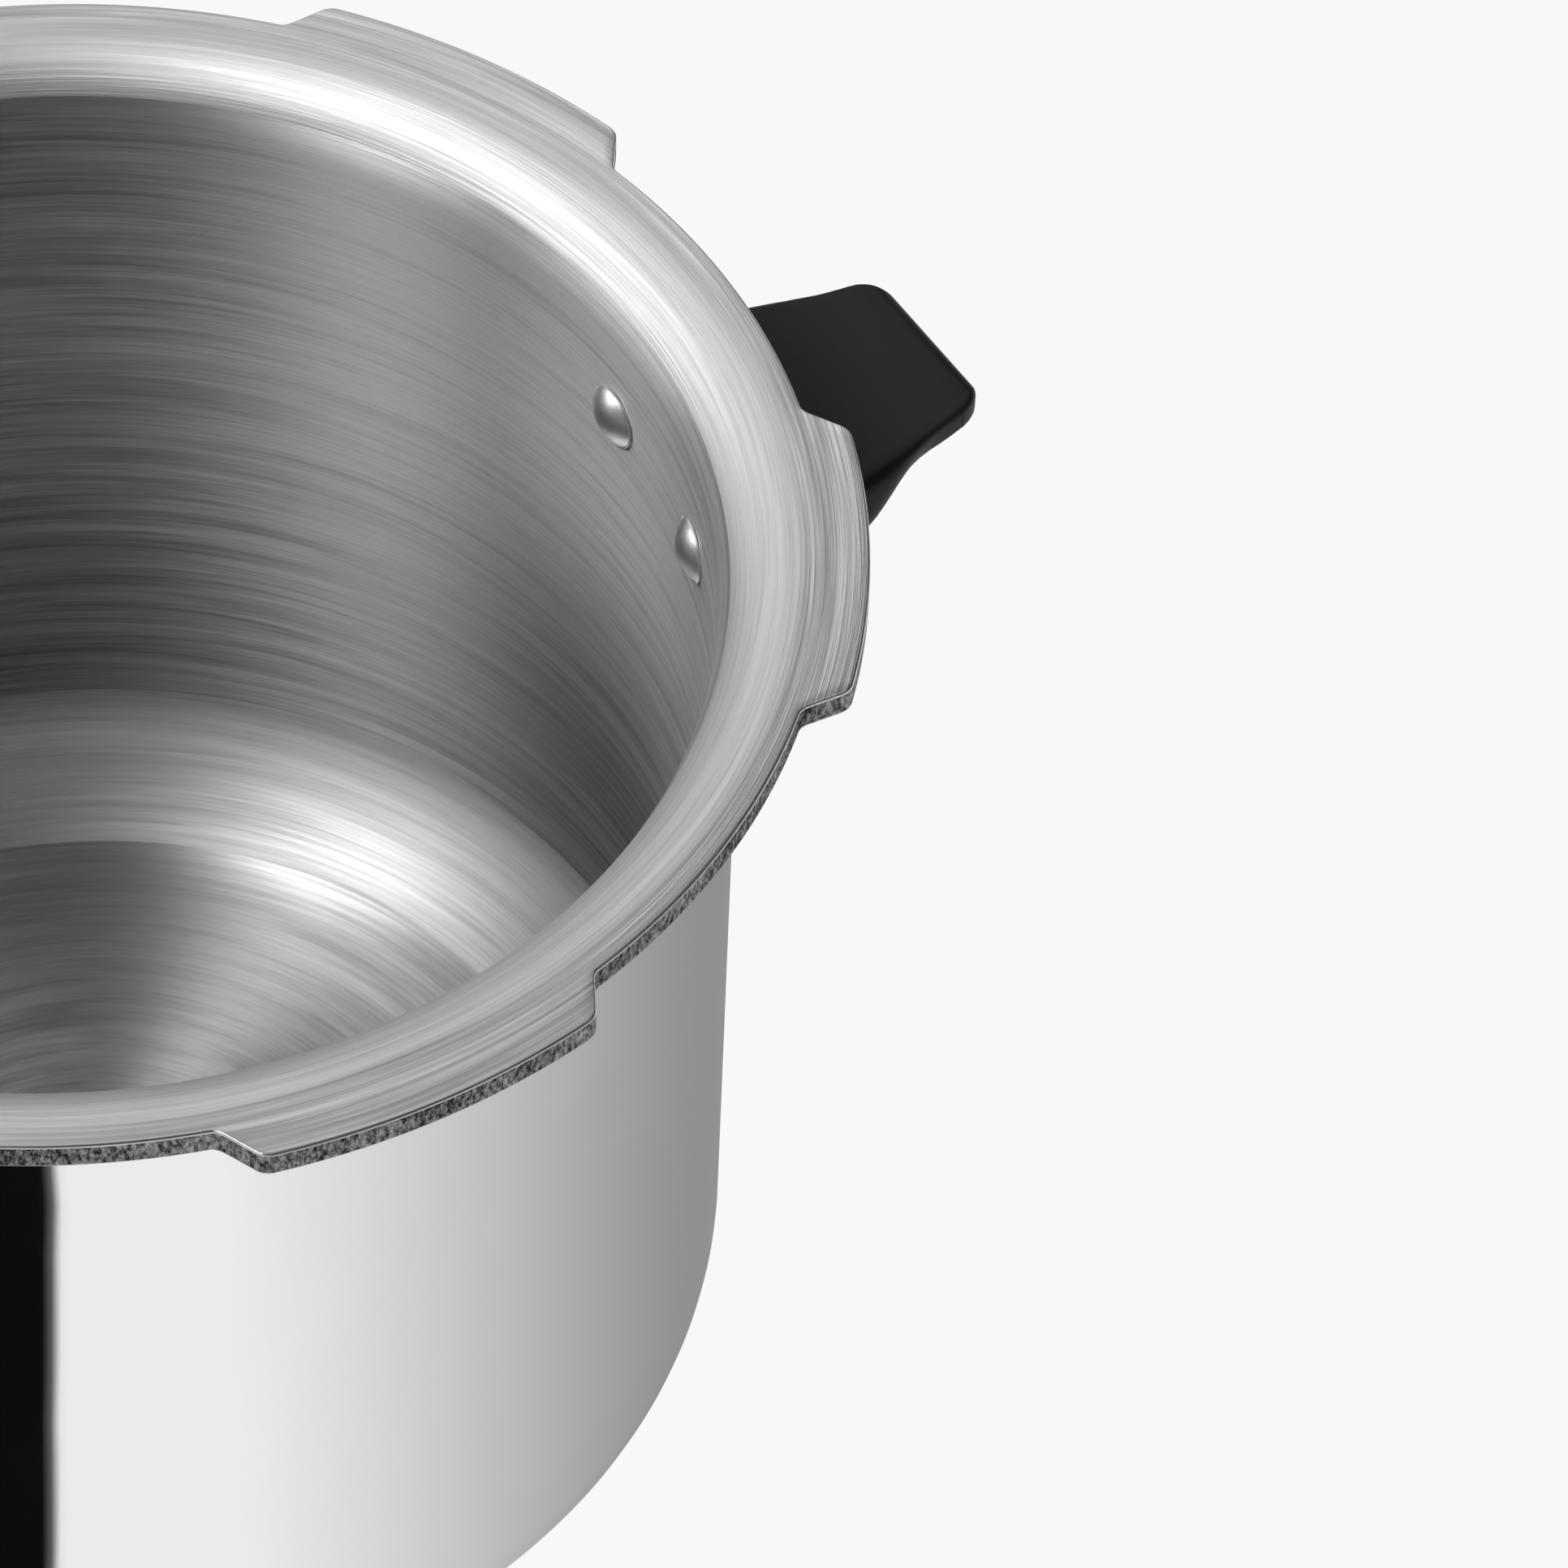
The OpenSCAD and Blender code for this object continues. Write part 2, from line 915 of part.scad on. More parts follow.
module indicator_bush() {
    color("silver")
    lying()
    at_indicator()
        difference() {
            union() {
                translate([0, 0, valve_seat_high])
                    cylinder(r = 8, h = 2);
                translate([0, 0, valve_seat_high + 1])
                    cylinder(r = 5.6, h = bush_high - valve_seat_high - 1);
                translate([0, 0, bush_low])
                    cylinder(r = stud_r, h = valve_seat_high - bush_low + over);
            }
            cylinder(r = pin_r + play, h = 60);
        }
}

module indicator_nut() {
    color("silver")
    lying()
    at_indicator()
        translate([0, 0, valve_seat_low - nut_h])
            hex_nut(stud_r + fit);
}

// Rises until its seal meets the underside of the bush
module indicator_pin() {
    color("crimson")
    lying()
    at_indicator() {
        translate([0, 0, bush_low - pin_rise - 4])
            cylinder(r = pin_r, h = bush_high - bush_low + pin_rise + 5);
        translate([0, 0, bush_high + 0.1])
            cylinder(r = 3.4, h = 2);
        translate([0, 0, bush_low - pin_rise - 4])
            cylinder(r = 4.4, h = 2);
    }
}

module indicator_seal() {
    color("dimgray")
    lying()
    at_indicator()
        translate([0, 0, bush_low - pin_rise - 2])
            flat_ring(4.2, pin_r, 1.8);
}

// ---- pressure weight ----

weight_low = vent_base + 8;             // underside of the weight
weight_h = 24;
weight_bore = 4.2 + 0.35;
weight_top_bore = vent_base + vent_h + 0.3;

module weight_body() {
    color("silver")
    lying()
    difference() {
        union() {
            translate([0, 0, weight_low])
                cylinder(r = weight_r, h = weight_h);
            translate([0, 0, weight_low + weight_h - over])
                cylinder(r = 7, h = 6 + over);
        }
        translate([0, 0, weight_low - over])
            cylinder(r = weight_bore, h = weight_top_bore - weight_low + over);
        translate([0, 0, weight_low - over])
            cylinder(r = 11, h = 3 + over);
        translate([0, 0, weight_low])
            cylinder(r = 2, h = weight_h + 2);
        // steam ports
        for (a = [0 : 60 : 300])
            rotate([0, 0, a])
                translate([0, 0, weight_low + 6])
                    rotate([0, 90, 0])
                        cylinder(r = 1.4, h = weight_r + over);
    }
}

module weight_cap() {
    color([0.13, 0.13, 0.13])
    lying()
    difference() {
        union() {
            translate([0, 0, weight_low + weight_h + fit])
                cylinder(r1 = 9.5, r2 = 11.5, h = 6);
            translate([0, 0, weight_low + weight_h + fit + 6])
                cylinder(r = 11.5, h = 4);
            translate([0, 0, weight_low + weight_h + fit + 10])
                dome_head(11.5, 2.5);
        }
        translate([0, 0, weight_low])
            cylinder(r = 7 + fit, h = weight_h + 6 + fit);
    }
}

// Cone that closes the vent's bore
module weight_needle() {
    color("whitesmoke")
    lying() {
        translate([0, 0, weight_top_bore - 0.2])
            cylinder(r = 2, h = weight_low + weight_h - weight_top_bore);
        translate([0, 0, weight_top_bore - 3.1])
            cylinder(r1 = 0.6, r2 = 1.4, h = 3.1);
    }
}

pan();
helper_bracket();
helper_rivets();
helper_handle();
helper_screw();
long_bracket();
long_rivets();
long_handle();
long_handle_screws();
gasket();
lid_shell();
lid_bracket();
lid_rivets();
lid_handle();
lid_handle_screws();
vent_pipe();
vent_washer();
vent_nut();
safety_plug();
safety_core();
safety_washer();
safety_nut();
indicator_bush();
indicator_nut();
indicator_pin();
indicator_seal();
weight_body();
weight_cap();
weight_needle();
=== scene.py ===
import math

import bmesh
import bpy
from mathutils import Matrix, Vector


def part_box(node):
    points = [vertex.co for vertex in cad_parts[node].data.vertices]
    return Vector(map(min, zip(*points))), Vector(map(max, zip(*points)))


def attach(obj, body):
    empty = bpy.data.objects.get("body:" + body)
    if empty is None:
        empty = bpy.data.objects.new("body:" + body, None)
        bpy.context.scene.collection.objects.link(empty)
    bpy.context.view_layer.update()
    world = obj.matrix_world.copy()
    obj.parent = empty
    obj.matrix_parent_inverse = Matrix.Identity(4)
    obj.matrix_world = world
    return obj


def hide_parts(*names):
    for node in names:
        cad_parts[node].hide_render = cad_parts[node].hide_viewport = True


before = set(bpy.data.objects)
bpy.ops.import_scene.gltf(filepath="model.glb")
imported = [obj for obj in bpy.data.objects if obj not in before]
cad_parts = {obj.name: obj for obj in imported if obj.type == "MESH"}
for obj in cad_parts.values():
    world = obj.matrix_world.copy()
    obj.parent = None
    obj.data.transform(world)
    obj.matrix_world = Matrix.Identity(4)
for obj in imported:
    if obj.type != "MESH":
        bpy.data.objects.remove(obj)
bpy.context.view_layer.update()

MM = 0.001
MERGE = 2e-7                 # points closer than this many metres become one

# ---- sizes, in millimetres: the pan stands on the origin, its helper handle points along +X ----

PAN_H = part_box("pan")[1].z / MM
WALL_R = 105.0
INNER_R = 101.4
BASE_T = 4.5
CORNER_R = 23.7
INNER_CORNER_R = 26.0
FLANGE_R = 118.0
FLANGE_T = 4.6
FLARE_R = 13.0
UNDER_R = 8.0
EDGE_R = 0.45
FLARE_SPLIT = 150.0          # angles round the flare and the inner corner where one finish gives way
BOWL_TOP = -5.0              # to the next
BOWL_END = -68.0

LUG_R = 124.4
LUG_START = 35.6
LUG_PITCH = 60.0
LUG_ROOT = 15.2
LUG_TIP = 11.9
LUG_CORNER_R = 3.2
LUG_BLEND = 1.1

RIVET_DROP = 28.4
RIVET_A = 8.85
RIVET_HEAD_R = 5.5
RIVET_HEAD_H = 2.6

SKIRT_R = 126.0
LID_T = 2.8
SKIRT_LOW = -9.0
SEAL_H = 7.2
DOME_R = 238.0
DOME_Z = -206.8
LID_LUG_R = 119.0
LID_LUG_A = 12.0
LID_LUG_LOW = -8.5
LID_LUG_TOP = -4.9
VALVE_D = 42.0
SAFETY_A = 125.0
INDICATOR_A = 180.0
VENT_SEAT = (30.6, 33.8)
VALVE_SEAT = (25.2, 29.4)
WINDOW_HALF = 12.0
WINDOW_Z = (0.8, 5.8)

LONG_OUT = 288.0
LONG_END_R = 14.5
EYE_X = 275.0
EYE_R = 4.5

gasket_low, gasket_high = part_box("gasket")
lid_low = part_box("lid_shell")[0]
LID_X = (gasket_low.x + gasket_high.x) / 2 / MM
LID_Y = (gasket_low.y + gasket_high.y) / 2 / MM
LID_SEAT = lid_low.z / MM - SKIRT_LOW
LID_TURN = -75.0

# ---- mesh tools ----


def arc(cx, cy, radius, start, end, steps):
    """Points on an arc, from one angle to another in degrees."""
    found = []
    for i in range(steps + 1):
        a = math.radians(start + (end - start) * i / steps)
        found.append((cx + radius * math.cos(a), cy + radius * math.sin(a)))
    return found


def line(a, b, steps):
    """Points from a to b, with a left out because an arc already ends there."""
    return [
        tuple(p + (q - p) * i / steps for p, q in zip(a, b)) for i in range(1, steps + 1)
    ]


def smooth(low, high, value):
    """0 below low, 1 above high, and an even S between them."""
    t = min(max((value - low) / (high - low), 0.0), 1.0)
    return t * t * (3 - 2 * t)


def circle_angles(count):
    return [math.tau * i / count for i in range(count)]


def along(points, x):
    """Height at x of a line through points sorted by x, held flat past both ends."""
    if x <= points[0][0]:
        return points[0][1]
    for (x0, z0), (x1, z1) in zip(points, points[1:]):
        if x <= x1:
            return z0 + (z1 - z0) * (x - x0) / (x1 - x0)
    return points[-1][1]


def eased(points, x, soft):
    """The line through points, its corners rounded over a width of soft on each side."""
    reach = [soft * i / 4 for i in range(-4, 5)]
    return sum(along(points, x + r) for r in reach) / len(reach)


def rounded(corners, cuts, steps=5, closed=True):
    """A polygon's points with each corner rounded off; cuts holds how far back each round starts."""
    found = []
    n = len(corners)
    for i, here in enumerate(corners):
        if not closed and i in (0, n - 1):
            found.append(tuple(here))
            continue
        corner = Vector(here)
        back = Vector(corners[i - 1]) - corner
        ahead = Vector(corners[(i + 1) % n]) - corner
        cut = cuts[i] if isinstance(cuts, (list, tuple)) else cuts
        start = corner + back.normalized() * min(cut, 0.46 * back.length)
        end = corner + ahead.normalized() * min(cut, 0.46 * ahead.length)
        for j in range(steps + 1):
            t = j / steps
            found.append(tuple((1 - t) ** 2 * start + 2 * t * (1 - t) * corner + t * t * end))
    return found


class Skin:
    """Points in millimetres and the faces between them, each with the number of its material."""

    def __init__(self):
        self.points = []
        self.faces = []
        self.marks = []

    def add(self, ring):
        first = len(self.points)
        self.points.extend(ring)
        return list(range(first, first + len(ring)))

    def bridge(self, a, b, mark=0, closed=True):
        """Quads between two rings of the same length."""
        n = len(a)
        for i in range(n if closed else n - 1):
            j = (i + 1) % n
            self.faces.append((a[i], a[j], b[j], b[i]))
            self.marks.append(mark)

    def cap(self, ring, mark=0):
        self.faces.append(tuple(ring))
        self.marks.append(mark)

    def loft(self, rings, marks=None, looped=False, capped=False):
        """Joins rings in order. marks holds one number for each gap between rings."""
        ids = [self.add(r) for r in rings]
        pairs = list(zip(ids, ids[1:] + ids[:1])) if looped else list(zip(ids, ids[1:]))
        for i, (a, b) in enumerate(pairs):
            self.bridge(a, b, marks[i] if marks else 0)
        if capped:
            self.cap(ids[0], marks[0] if marks else 0)
            self.cap(ids[-1], marks[-1] if marks else 0)
        return ids

    def lathe(self, outline, steps=96, looped=False, marks=None, place=None):
        """Turns an outline of (r, z) points about Z."""
        angles = circle_angles(steps)
        rings = [[(r * math.cos(a), r * math.sin(a), z) for a in angles] for r, z in outline]
        if place is not None:
            rings = [[tuple(place @ Vector(p)) for p in ring] for ring in rings]
        self.loft(rings, marks, looped)


PLACED = []                  # pieces that are modelled about their own axis and then put in place


def in_scene(name, data):
    made = bpy.data.objects.new(name, data)
    bpy.context.scene.collection.objects.link(made)
    return made


def skin_mesh(name, skin):
    """The mesh of a skin, in metres, without the faces that closed up to a line or a point."""
    work = bmesh.new()
    corners = [work.verts.new(Vector(p) * MM) for p in skin.points]
    for ids, mark in zip(skin.faces, skin.marks):
        if len(set(ids)) < 3:
            continue
        try:
            made = work.faces.new([corners[i] for i in ids])
        except ValueError:
            continue
        made.material_index = mark
        made.smooth = True
    bmesh.ops.remove_doubles(work, verts=work.verts, dist=MERGE)
    bmesh.ops.recalc_face_normals(work, faces=work.faces)
    mesh = bpy.data.meshes.new(name)
    work.to_mesh(mesh)
    work.free()
    return mesh


def piece(name, skin, body, finishes, place=None, stands_for=(), crease=32.0):
    """Makes the object of a skin. It rides on a body and stands for CAD nodes. A crease is an edge
    that bends by more than so many degrees."""
    mesh = skin_mesh(name, skin)
    for finish in finishes:
        mesh.materials.append(finish)
    mesh.set_sharp_from_angle(angle=math.radians(crease))
    made = in_scene(name, mesh)
    if place is not None:
        made.matrix_world = place
        PLACED.append(made)
    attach(made, body)
    if stands_for:
        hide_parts(*stands_for)
    return made


def square_up(made):
    """Turns the mesh in place of its object, so that the object's box lines up with the frame's
    axes. The mesh's own axes then do so too."""
    bpy.context.view_layer.update()
    turn = made.matrix_world.to_3x3().to_4x4()
    made.data.transform(turn)
    made.matrix_world = Matrix.Translation(made.matrix_world.translation)


def carve(made, skin, crease=32.0):
    """Cuts a skin's solid out of a piece and keeps the result as plain mesh."""
    name = made.name + "_cutter"
    cutter = in_scene(name, skin_mesh(name, skin))
    cutter.matrix_world = made.matrix_world
    cut = made.modifiers.new("cut", "BOOLEAN")
    cut.operation = "DIFFERENCE"
    cut.solver = "EXACT"
    cut.object = cutter
    bpy.context.view_layer.update()
    graph = bpy.context.evaluated_depsgraph_get()
    mesh = bpy.data.meshes.new_from_object(made.evaluated_get(graph))
    made.modifiers.clear()
    old = made.data
    made.data = mesh
    bpy.data.meshes.remove(old)
    bpy.data.objects.remove(cutter)
    mesh.shade_smooth()
    mesh.set_sharp_from_angle(angle=math.radians(crease))


# ---- materials ----


def shader(name, **constants):
    """A material with one Principled shader, its plain values set on the shader's own sockets:
    (material, nodes, links, the shader)."""
    made = bpy.data.materials.new(name)
    made.use_nodes = True
    nodes = made.node_tree.nodes
    main = nodes["Principled BSDF"]
    for key, value in constants.items():
        main.inputs[key.replace("_", " ")].default_value = value
    return made, nodes, made.node_tree.links, main


def object_point(nodes, links, scale):
    """The point on the object, multiplied by scale."""
    coords = nodes.new("ShaderNodeTexCoord")
    sized = nodes.new("ShaderNodeVectorMath")
    sized.operation = "MULTIPLY"
    sized.inputs[1].default_value = scale
    links.new(coords.outputs["Object"], sized.inputs[0])
    return sized.outputs["Vector"]


def turned_point(nodes, links, around, along):
    """A point whose noise runs in rings about the object's Z axis: around sets how short the
    streaks are, along how close together, counted along the surface as radius plus height."""
    coords = nodes.new("ShaderNodeTexCoord")
    flat = nodes.new("ShaderNodeVectorMath")
    flat.operation = "MULTIPLY"
    flat.inputs[1].default_value = (1.0, 1.0, 0.0)
    links.new(coords.outputs["Object"], flat.inputs[0])
    radius = nodes.new("ShaderNodeVectorMath")
    radius.operation = "LENGTH"
    links.new(flat.outputs["Vector"], radius.inputs[0])
    heading = nodes.new("ShaderNodeVectorMath")
    heading.operation = "NORMALIZE"
    links.new(flat.outputs["Vector"], heading.inputs[0])
    ring = nodes.new("ShaderNodeVectorMath")
    ring.operation = "SCALE"
    ring.inputs["Scale"].default_value = around
    links.new(heading.outputs["Vector"], ring.inputs[0])
    split = nodes.new("ShaderNodeSeparateXYZ")
    links.new(coords.outputs["Object"], split.inputs[0])
    total = nodes.new("ShaderNodeMath")
    total.operation = "ADD"
    links.new(radius.outputs["Value"], total.inputs[0])
    links.new(split.outputs["Z"], total.inputs[1])
    step = nodes.new("ShaderNodeMath")
    step.operation = "MULTIPLY"
    step.inputs[1].default_value = along
    links.new(total.outputs["Value"], step.inputs[0])
    rise = nodes.new("ShaderNodeCombineXYZ")
    links.new(step.outputs["Value"], rise.inputs["Z"])
    joined = nodes.new("ShaderNodeVectorMath")
    joined.operation = "ADD"
    links.new(ring.outputs["Vector"], joined.inputs[0])
    links.new(rise.outputs["Vector"], joined.inputs[1])
    return joined.outputs["Vector"]


def noise(nodes, links, where, detail=2.0, rough=0.5):
    """Noise whose size comes from the scaled point alone."""
    made = nodes.new("ShaderNodeTexNoise")
    made.inputs["Scale"].default_value = 1.0
    made.inputs["Detail"].default_value = detail
    made.inputs["Roughness"].default_value = rough
    links.new(where, made.inputs["Vector"])
    return made.outputs["Fac"]


def mapped(nodes, links, value, low, high, to_low, to_high):
    """value from low..high, as to_low..to_high, held at both ends."""
    made = nodes.new("ShaderNodeMapRange")
    made.clamp = True
    made.inputs["From Min"].default_value = low
    made.inputs["From Max"].default_value = high
    made.inputs["To Min"].default_value = to_low
    made.inputs["To Max"].default_value = to_high
    links.new(value, made.inputs["Value"])
    return made.outputs["Result"]


def combined(nodes, links, how, a, b):
    """a and b through one Math node. b may be a plain number."""
    made = nodes.new("ShaderNodeMath")
    made.operation = how
    links.new(a, made.inputs[0])
    if isinstance(b, float):
        made.inputs[1].default_value = b
    else:
        links.new(b, made.inputs[1])
    return made.outputs["Value"]


def grey(nodes, links, value):
    """The value as a nearly neutral colour, its blue a touch stronger."""
    made = nodes.new("ShaderNodeCombineColor")
    links.new(value, made.inputs["Red"])
    links.new(value, made.inputs["Green"])
    cool = combined(nodes, links, "MULTIPLY", value, 1.01)
    links.new(cool, made.inputs["Blue"])
    return made.outputs["Color"]


def bump(nodes, links, main, height, strength, depth):
    made = nodes.new("ShaderNodeBump")
    made.inputs["Strength"].default_value = strength
    made.inputs["Distance"].default_value = depth
    links.new(height, made.inputs["Height"])
    links.new(made.outputs["Normal"], main.inputs["Normal"])


SCRATCH_AROUND = 3.0         # the higher, the shorter the scratches and the bands in their rings
BAND_AROUND = 1.6


def turned_metal(name, tone, rough, fine, bands, stretch, depth, painted_shading=None):
    """Aluminium with turning marks in rings. tone and rough are (low, high); fine and bands are the
    rings per metre of the scratches and of the broad bands; stretch is the anisotropy; depth is in
    metres. The last argument, when given, is painted shade or painted highlight as (height, height,
    factor, factor): how the tone is changed at two heights."""
    made, nodes, links, main = shader(name, Metallic=1.0, Anisotropic=stretch,
                                      Anisotropic_Rotation=0.25)
    scratches = noise(nodes, links, turned_point(nodes, links, SCRATCH_AROUND, fine), 3.0, 0.65)
    rings = noise(nodes, links, turned_point(nodes, links, BAND_AROUND, bands))
    both = combined(nodes, links, "ADD", combined(nodes, links, "MULTIPLY", scratches, 0.5),
                    combined(nodes, links, "MULTIPLY", rings, 0.5))
    shade = mapped(nodes, links, both, 0.36, 0.64, *tone)
    # Painted shading: the tone is multiplied by a factor that changes with height on the object.
    if painted_shading:
        split = nodes.new("ShaderNodeSeparateXYZ")
        links.new(object_point(nodes, links, (1.0, 1.0, 1.0)), split.inputs[0])
        painted_light_factor = mapped(nodes, links, split.outputs["Z"], *painted_shading)
        shade = combined(nodes, links, "MULTIPLY", shade, painted_light_factor)
    links.new(grey(nodes, links, shade), main.inputs["Base Color"])
    links.new(mapped(nodes, links, both, 0.34, 0.66, rough[1], rough[0]), main.inputs["Roughness"])
    bump(nodes, links, main, both, 0.5, depth)
    tangent = nodes.new("ShaderNodeTangent")
    tangent.direction_type = "RADIAL"
    tangent.axis = "Z"
    links.new(tangent.outputs["Tangent"], main.inputs["Tangent"])
    return made


def polished_metal(name, tone, rough):
    """Bright metal with a faint haze and very slight waviness."""
    made, nodes, links, main = shader(name, Metallic=1.0)
    haze = noise(nodes, links, object_point(nodes, links, (60.0, 60.0, 30.0)), detail=3.0)
    links.new(mapped(nodes, links, haze, 0.3, 0.7, *rough), main.inputs["Roughness"])
    links.new(grey(nodes, links, mapped(nodes, links, haze, 0.3, 0.7, tone, tone * 0.985)),
              main.inputs["Base Color"])
    return made


def cut_metal(name):
    """The sheared edge of the flange: torn, dark and grainy with bright flecks."""
    made, nodes, links, main = shader(name, Metallic=1.0)
    grain = noise(nodes, links, object_point(nodes, links, (1500.0, 1500.0, 700.0)), 4.0, 0.7)
    drift = noise(nodes, links, object_point(nodes, links, (70.0, 70.0, 30.0)))
    both = combined(nodes, links, "ADD", grain, combined(nodes, links, "MULTIPLY", drift, 0.35))
    links.new(grey(nodes, links, mapped(nodes, links, both, 0.56, 0.90, 0.03, 0.62)),
              main.inputs["Base Color"])
    links.new(mapped(nodes, links, grain, 0.3, 0.7, 0.7, 0.4), main.inputs["Roughness"])
    bump(nodes, links, main, grain, 0.9, 0.0006)
    return made


def phenolic(name):
    """Matte black moulded handle with a very fine orange-peel."""
    made, nodes, links, main = shader(name, Specular_IOR_Level=0.35)
    grain = noise(nodes, links, object_point(nodes, links, (900.0, 900.0, 900.0)), detail=3.0)
    cloud = noise(nodes, links, object_point(nodes, links, (40.0, 40.0, 40.0)))
    links.new(grey(nodes, links, mapped(nodes, links, cloud, 0.3, 0.7, 0.0105, 0.0140)),
              main.inputs["Base Color"])
    links.new(mapped(nodes, links, cloud, 0.3, 0.7, 0.46, 0.56), main.inputs["Roughness"])
    bump(nodes, links, main, grain, 0.25, 0.00015)
    return made


def rubber(name, tone):
    """Matte rubber or silicone, a little cloudy."""
    made, nodes, links, main = shader(name, Specular_IOR_Level=0.3)
    cloud = noise(nodes, links, object_point(nodes, links, (120.0, 120.0, 120.0)), detail=4.0)
    links.new(grey(nodes, links, mapped(nodes, links, cloud, 0.3, 0.7, tone * 0.85, tone * 1.15)),
              main.inputs["Base Color"])
    links.new(mapped(nodes, links, cloud, 0.3, 0.7, 0.55, 0.75), main.inputs["Roughness"])
    bump(nodes, links, main, cloud, 0.3, 0.0002)
    return made


def tinted(nodes, links, value, colour, dark):
    """colour where value is high, and a darker tone of it where value is low."""
    tint = nodes.new("ShaderNodeMix")
    tint.data_type = "RGBA"
    tint.inputs["A"].default_value = (*[c * dark for c in colour], 1.0)
    tint.inputs["B"].default_value = (*colour, 1.0)
    links.new(mapped(nodes, links, value, 0.3, 0.7, 0.0, 1.0), tint.inputs["Factor"])
    return tint.outputs["Result"]


def plain_metal(name, colour, rough):
    """Small machined or pressed fitting of any metal colour."""
    made, nodes, links, main = shader(name, Metallic=1.0)
    marks = noise(nodes, links, object_point(nodes, links, (500.0, 500.0, 1600.0)), detail=3.0)
    links.new(tinted(nodes, links, marks, colour, 0.86), main.inputs["Base Color"])
    links.new(mapped(nodes, links, marks, 0.3, 0.7, rough * 1.25, rough * 0.8),
              main.inputs["Roughness"])
    bump(nodes, links, main, marks, 0.3, 0.00006)
    return made


def enamel(name, colour):
    """Hard glossy paint under a clear coat."""
    made, nodes, links, main = shader(name, Coat_Weight=0.6, Coat_Roughness=0.12)
    cloud = noise(nodes, links, object_point(nodes, links, (300.0, 300.0, 300.0)))
    links.new(tinted(nodes, links, cloud, colour, 0.8), main.inputs["Base Color"])
    links.new(mapped(nodes, links, cloud, 0.3, 0.7, 0.3, 0.4), main.inputs["Roughness"])
    return made


# The heights of the painted shading below are in metres: where the painted change of tone starts, and
# where the change ends.
POLISHED = polished_metal("polished_aluminium", 0.88, (0.03, 0.045))
# Painted shade: the inside wall's tone is darker towards the bottom.
TURNED = turned_metal("turned_inside", (0.46, 0.94), (0.38, 0.52), 1700.0, 420.0, 0.93, 0.00018,
                      painted_shading=(0.040, 0.115, 0.58, 1.0))
# Painted highlight: the floor's tone is lighter where it curves up into the fillet.
TURNED_FLOOR = turned_metal("turned_floor", (0.50, 0.80), (0.38, 0.52), 1500.0, 330.0, 0.93, 0.00010,
                            painted_shading=(0.0047, 0.0066, 1.0, 1.28))
# The flare's rougher, less streaked finish, with its tone set lighter than the wall's as a painted
# highlight.
FLARE = turned_metal("turned_flare", (0.74, 1.0), (0.48, 0.62), 2100.0, 620.0, 0.1, 0.00030)
# Painted highlight and painted shade: the fillet's tone is set lighter than the wall's, and is darker
# at its top where it meets the wall.
FILLET = turned_metal("turned_fillet", (0.68, 0.96), (0.50, 0.60), 1500.0, 330.0, 0.76, 0.00010,
                      painted_shading=(0.0205, 0.0285, 1.0, 0.56))
MACHINED = turned_metal("machined_rim", (0.58, 1.0), (0.26, 0.46), 2100.0, 620.0, 0.6, 0.00034)
CUT_EDGE = cut_metal("cut_edge")
TURNED_BASE = turned_metal("turned_base", (0.60, 0.76), (0.26, 0.38), 1300.0, 400.0, 0.6, 0.00006)
SPUN_LID = turned_metal("spun_lid_outside", (0.76, 0.88), (0.12, 0.2), 1200.0, 260.0, 0.3, 0.00002)
SATIN_LID = turned_metal("satin_lid_inside", (0.66, 0.80), (0.26, 0.36), 1300.0, 300.0, 0.5, 0.00003)
BRIGHT = polished_metal("bright_rivet", 0.92, (0.34, 0.42))
BLACK = phenolic("black_phenolic")
GASKET = rubber("gasket_silicone", 0.11)
WASHER = rubber("washer_rubber", 0.05)
STEEL = plain_metal("fitting_steel", (0.62, 0.62, 0.63), 0.26)
BRACKET = plain_metal("bracket_steel", (0.56, 0.56, 0.57), 0.34)
BRASS = plain_metal("turned_brass", (0.72, 0.52, 0.24), 0.26)
ALLOY = plain_metal("plug_core", (0.50, 0.51, 0.54), 0.42)
RED = enamel("red_enamel", (0.55, 0.03, 0.03))
CHROME = polished_metal("polished_weight", 0.80, (0.08, 0.14))

# ---- pan ----

# The pan's finishes, in the order of their numbers in its outline
PAN_FINISHES = [POLISHED, TURNED, MACHINED, CUT_EDGE, TURNED_BASE, FLARE, FILLET, TURNED_FLOOR]
OUTSIDE, INSIDE, RIM, EDGE, BASE, MOUTH, BOWL, FLOOR = range(len(PAN_FINISHES))


def soft_max(a, b, width):
    """The larger of a and b, with the corner between them rounded over width."""
    near = max(width - abs(a - b), 0.0) / width
    return max(a, b) + near * near * width / 4


def lug_edge(turn):
    """Radius of a lug's outline at an angle in degrees from its middle, 0 or more."""
    middle = LUG_R - LUG_CORNER_R
    end = middle * Vector((math.cos(math.radians(LUG_TIP)), math.sin(math.radians(LUG_TIP))))
    root = FLANGE_R * Vector((math.cos(math.radians(LUG_ROOT)), math.sin(math.radians(LUG_ROOT))))
    heading = math.atan2(root.y - end.y, root.x - end.x)
    lean = heading - math.acos(LUG_CORNER_R / (root - end).length)
    touch = end + LUG_CORNER_R * Vector((math.cos(lean), math.sin(lean)))
    if turn <= LUG_TIP:
        return LUG_R
    ray = Vector((math.cos(math.radians(turn)), math.sin(math.radians(turn))))
    if turn <= math.degrees(math.atan2(touch.y, touch.x)):
        along = end.dot(ray)
        return along + math.sqrt(max(LUG_CORNER_R**2 - (end.length_squared - along**2), 0.0))
    slope = root - touch
    across = ray.x * slope.y - ray.y * slope.x
    return max((touch.x * slope.y - touch.y * slope.x) / across, 0.0)


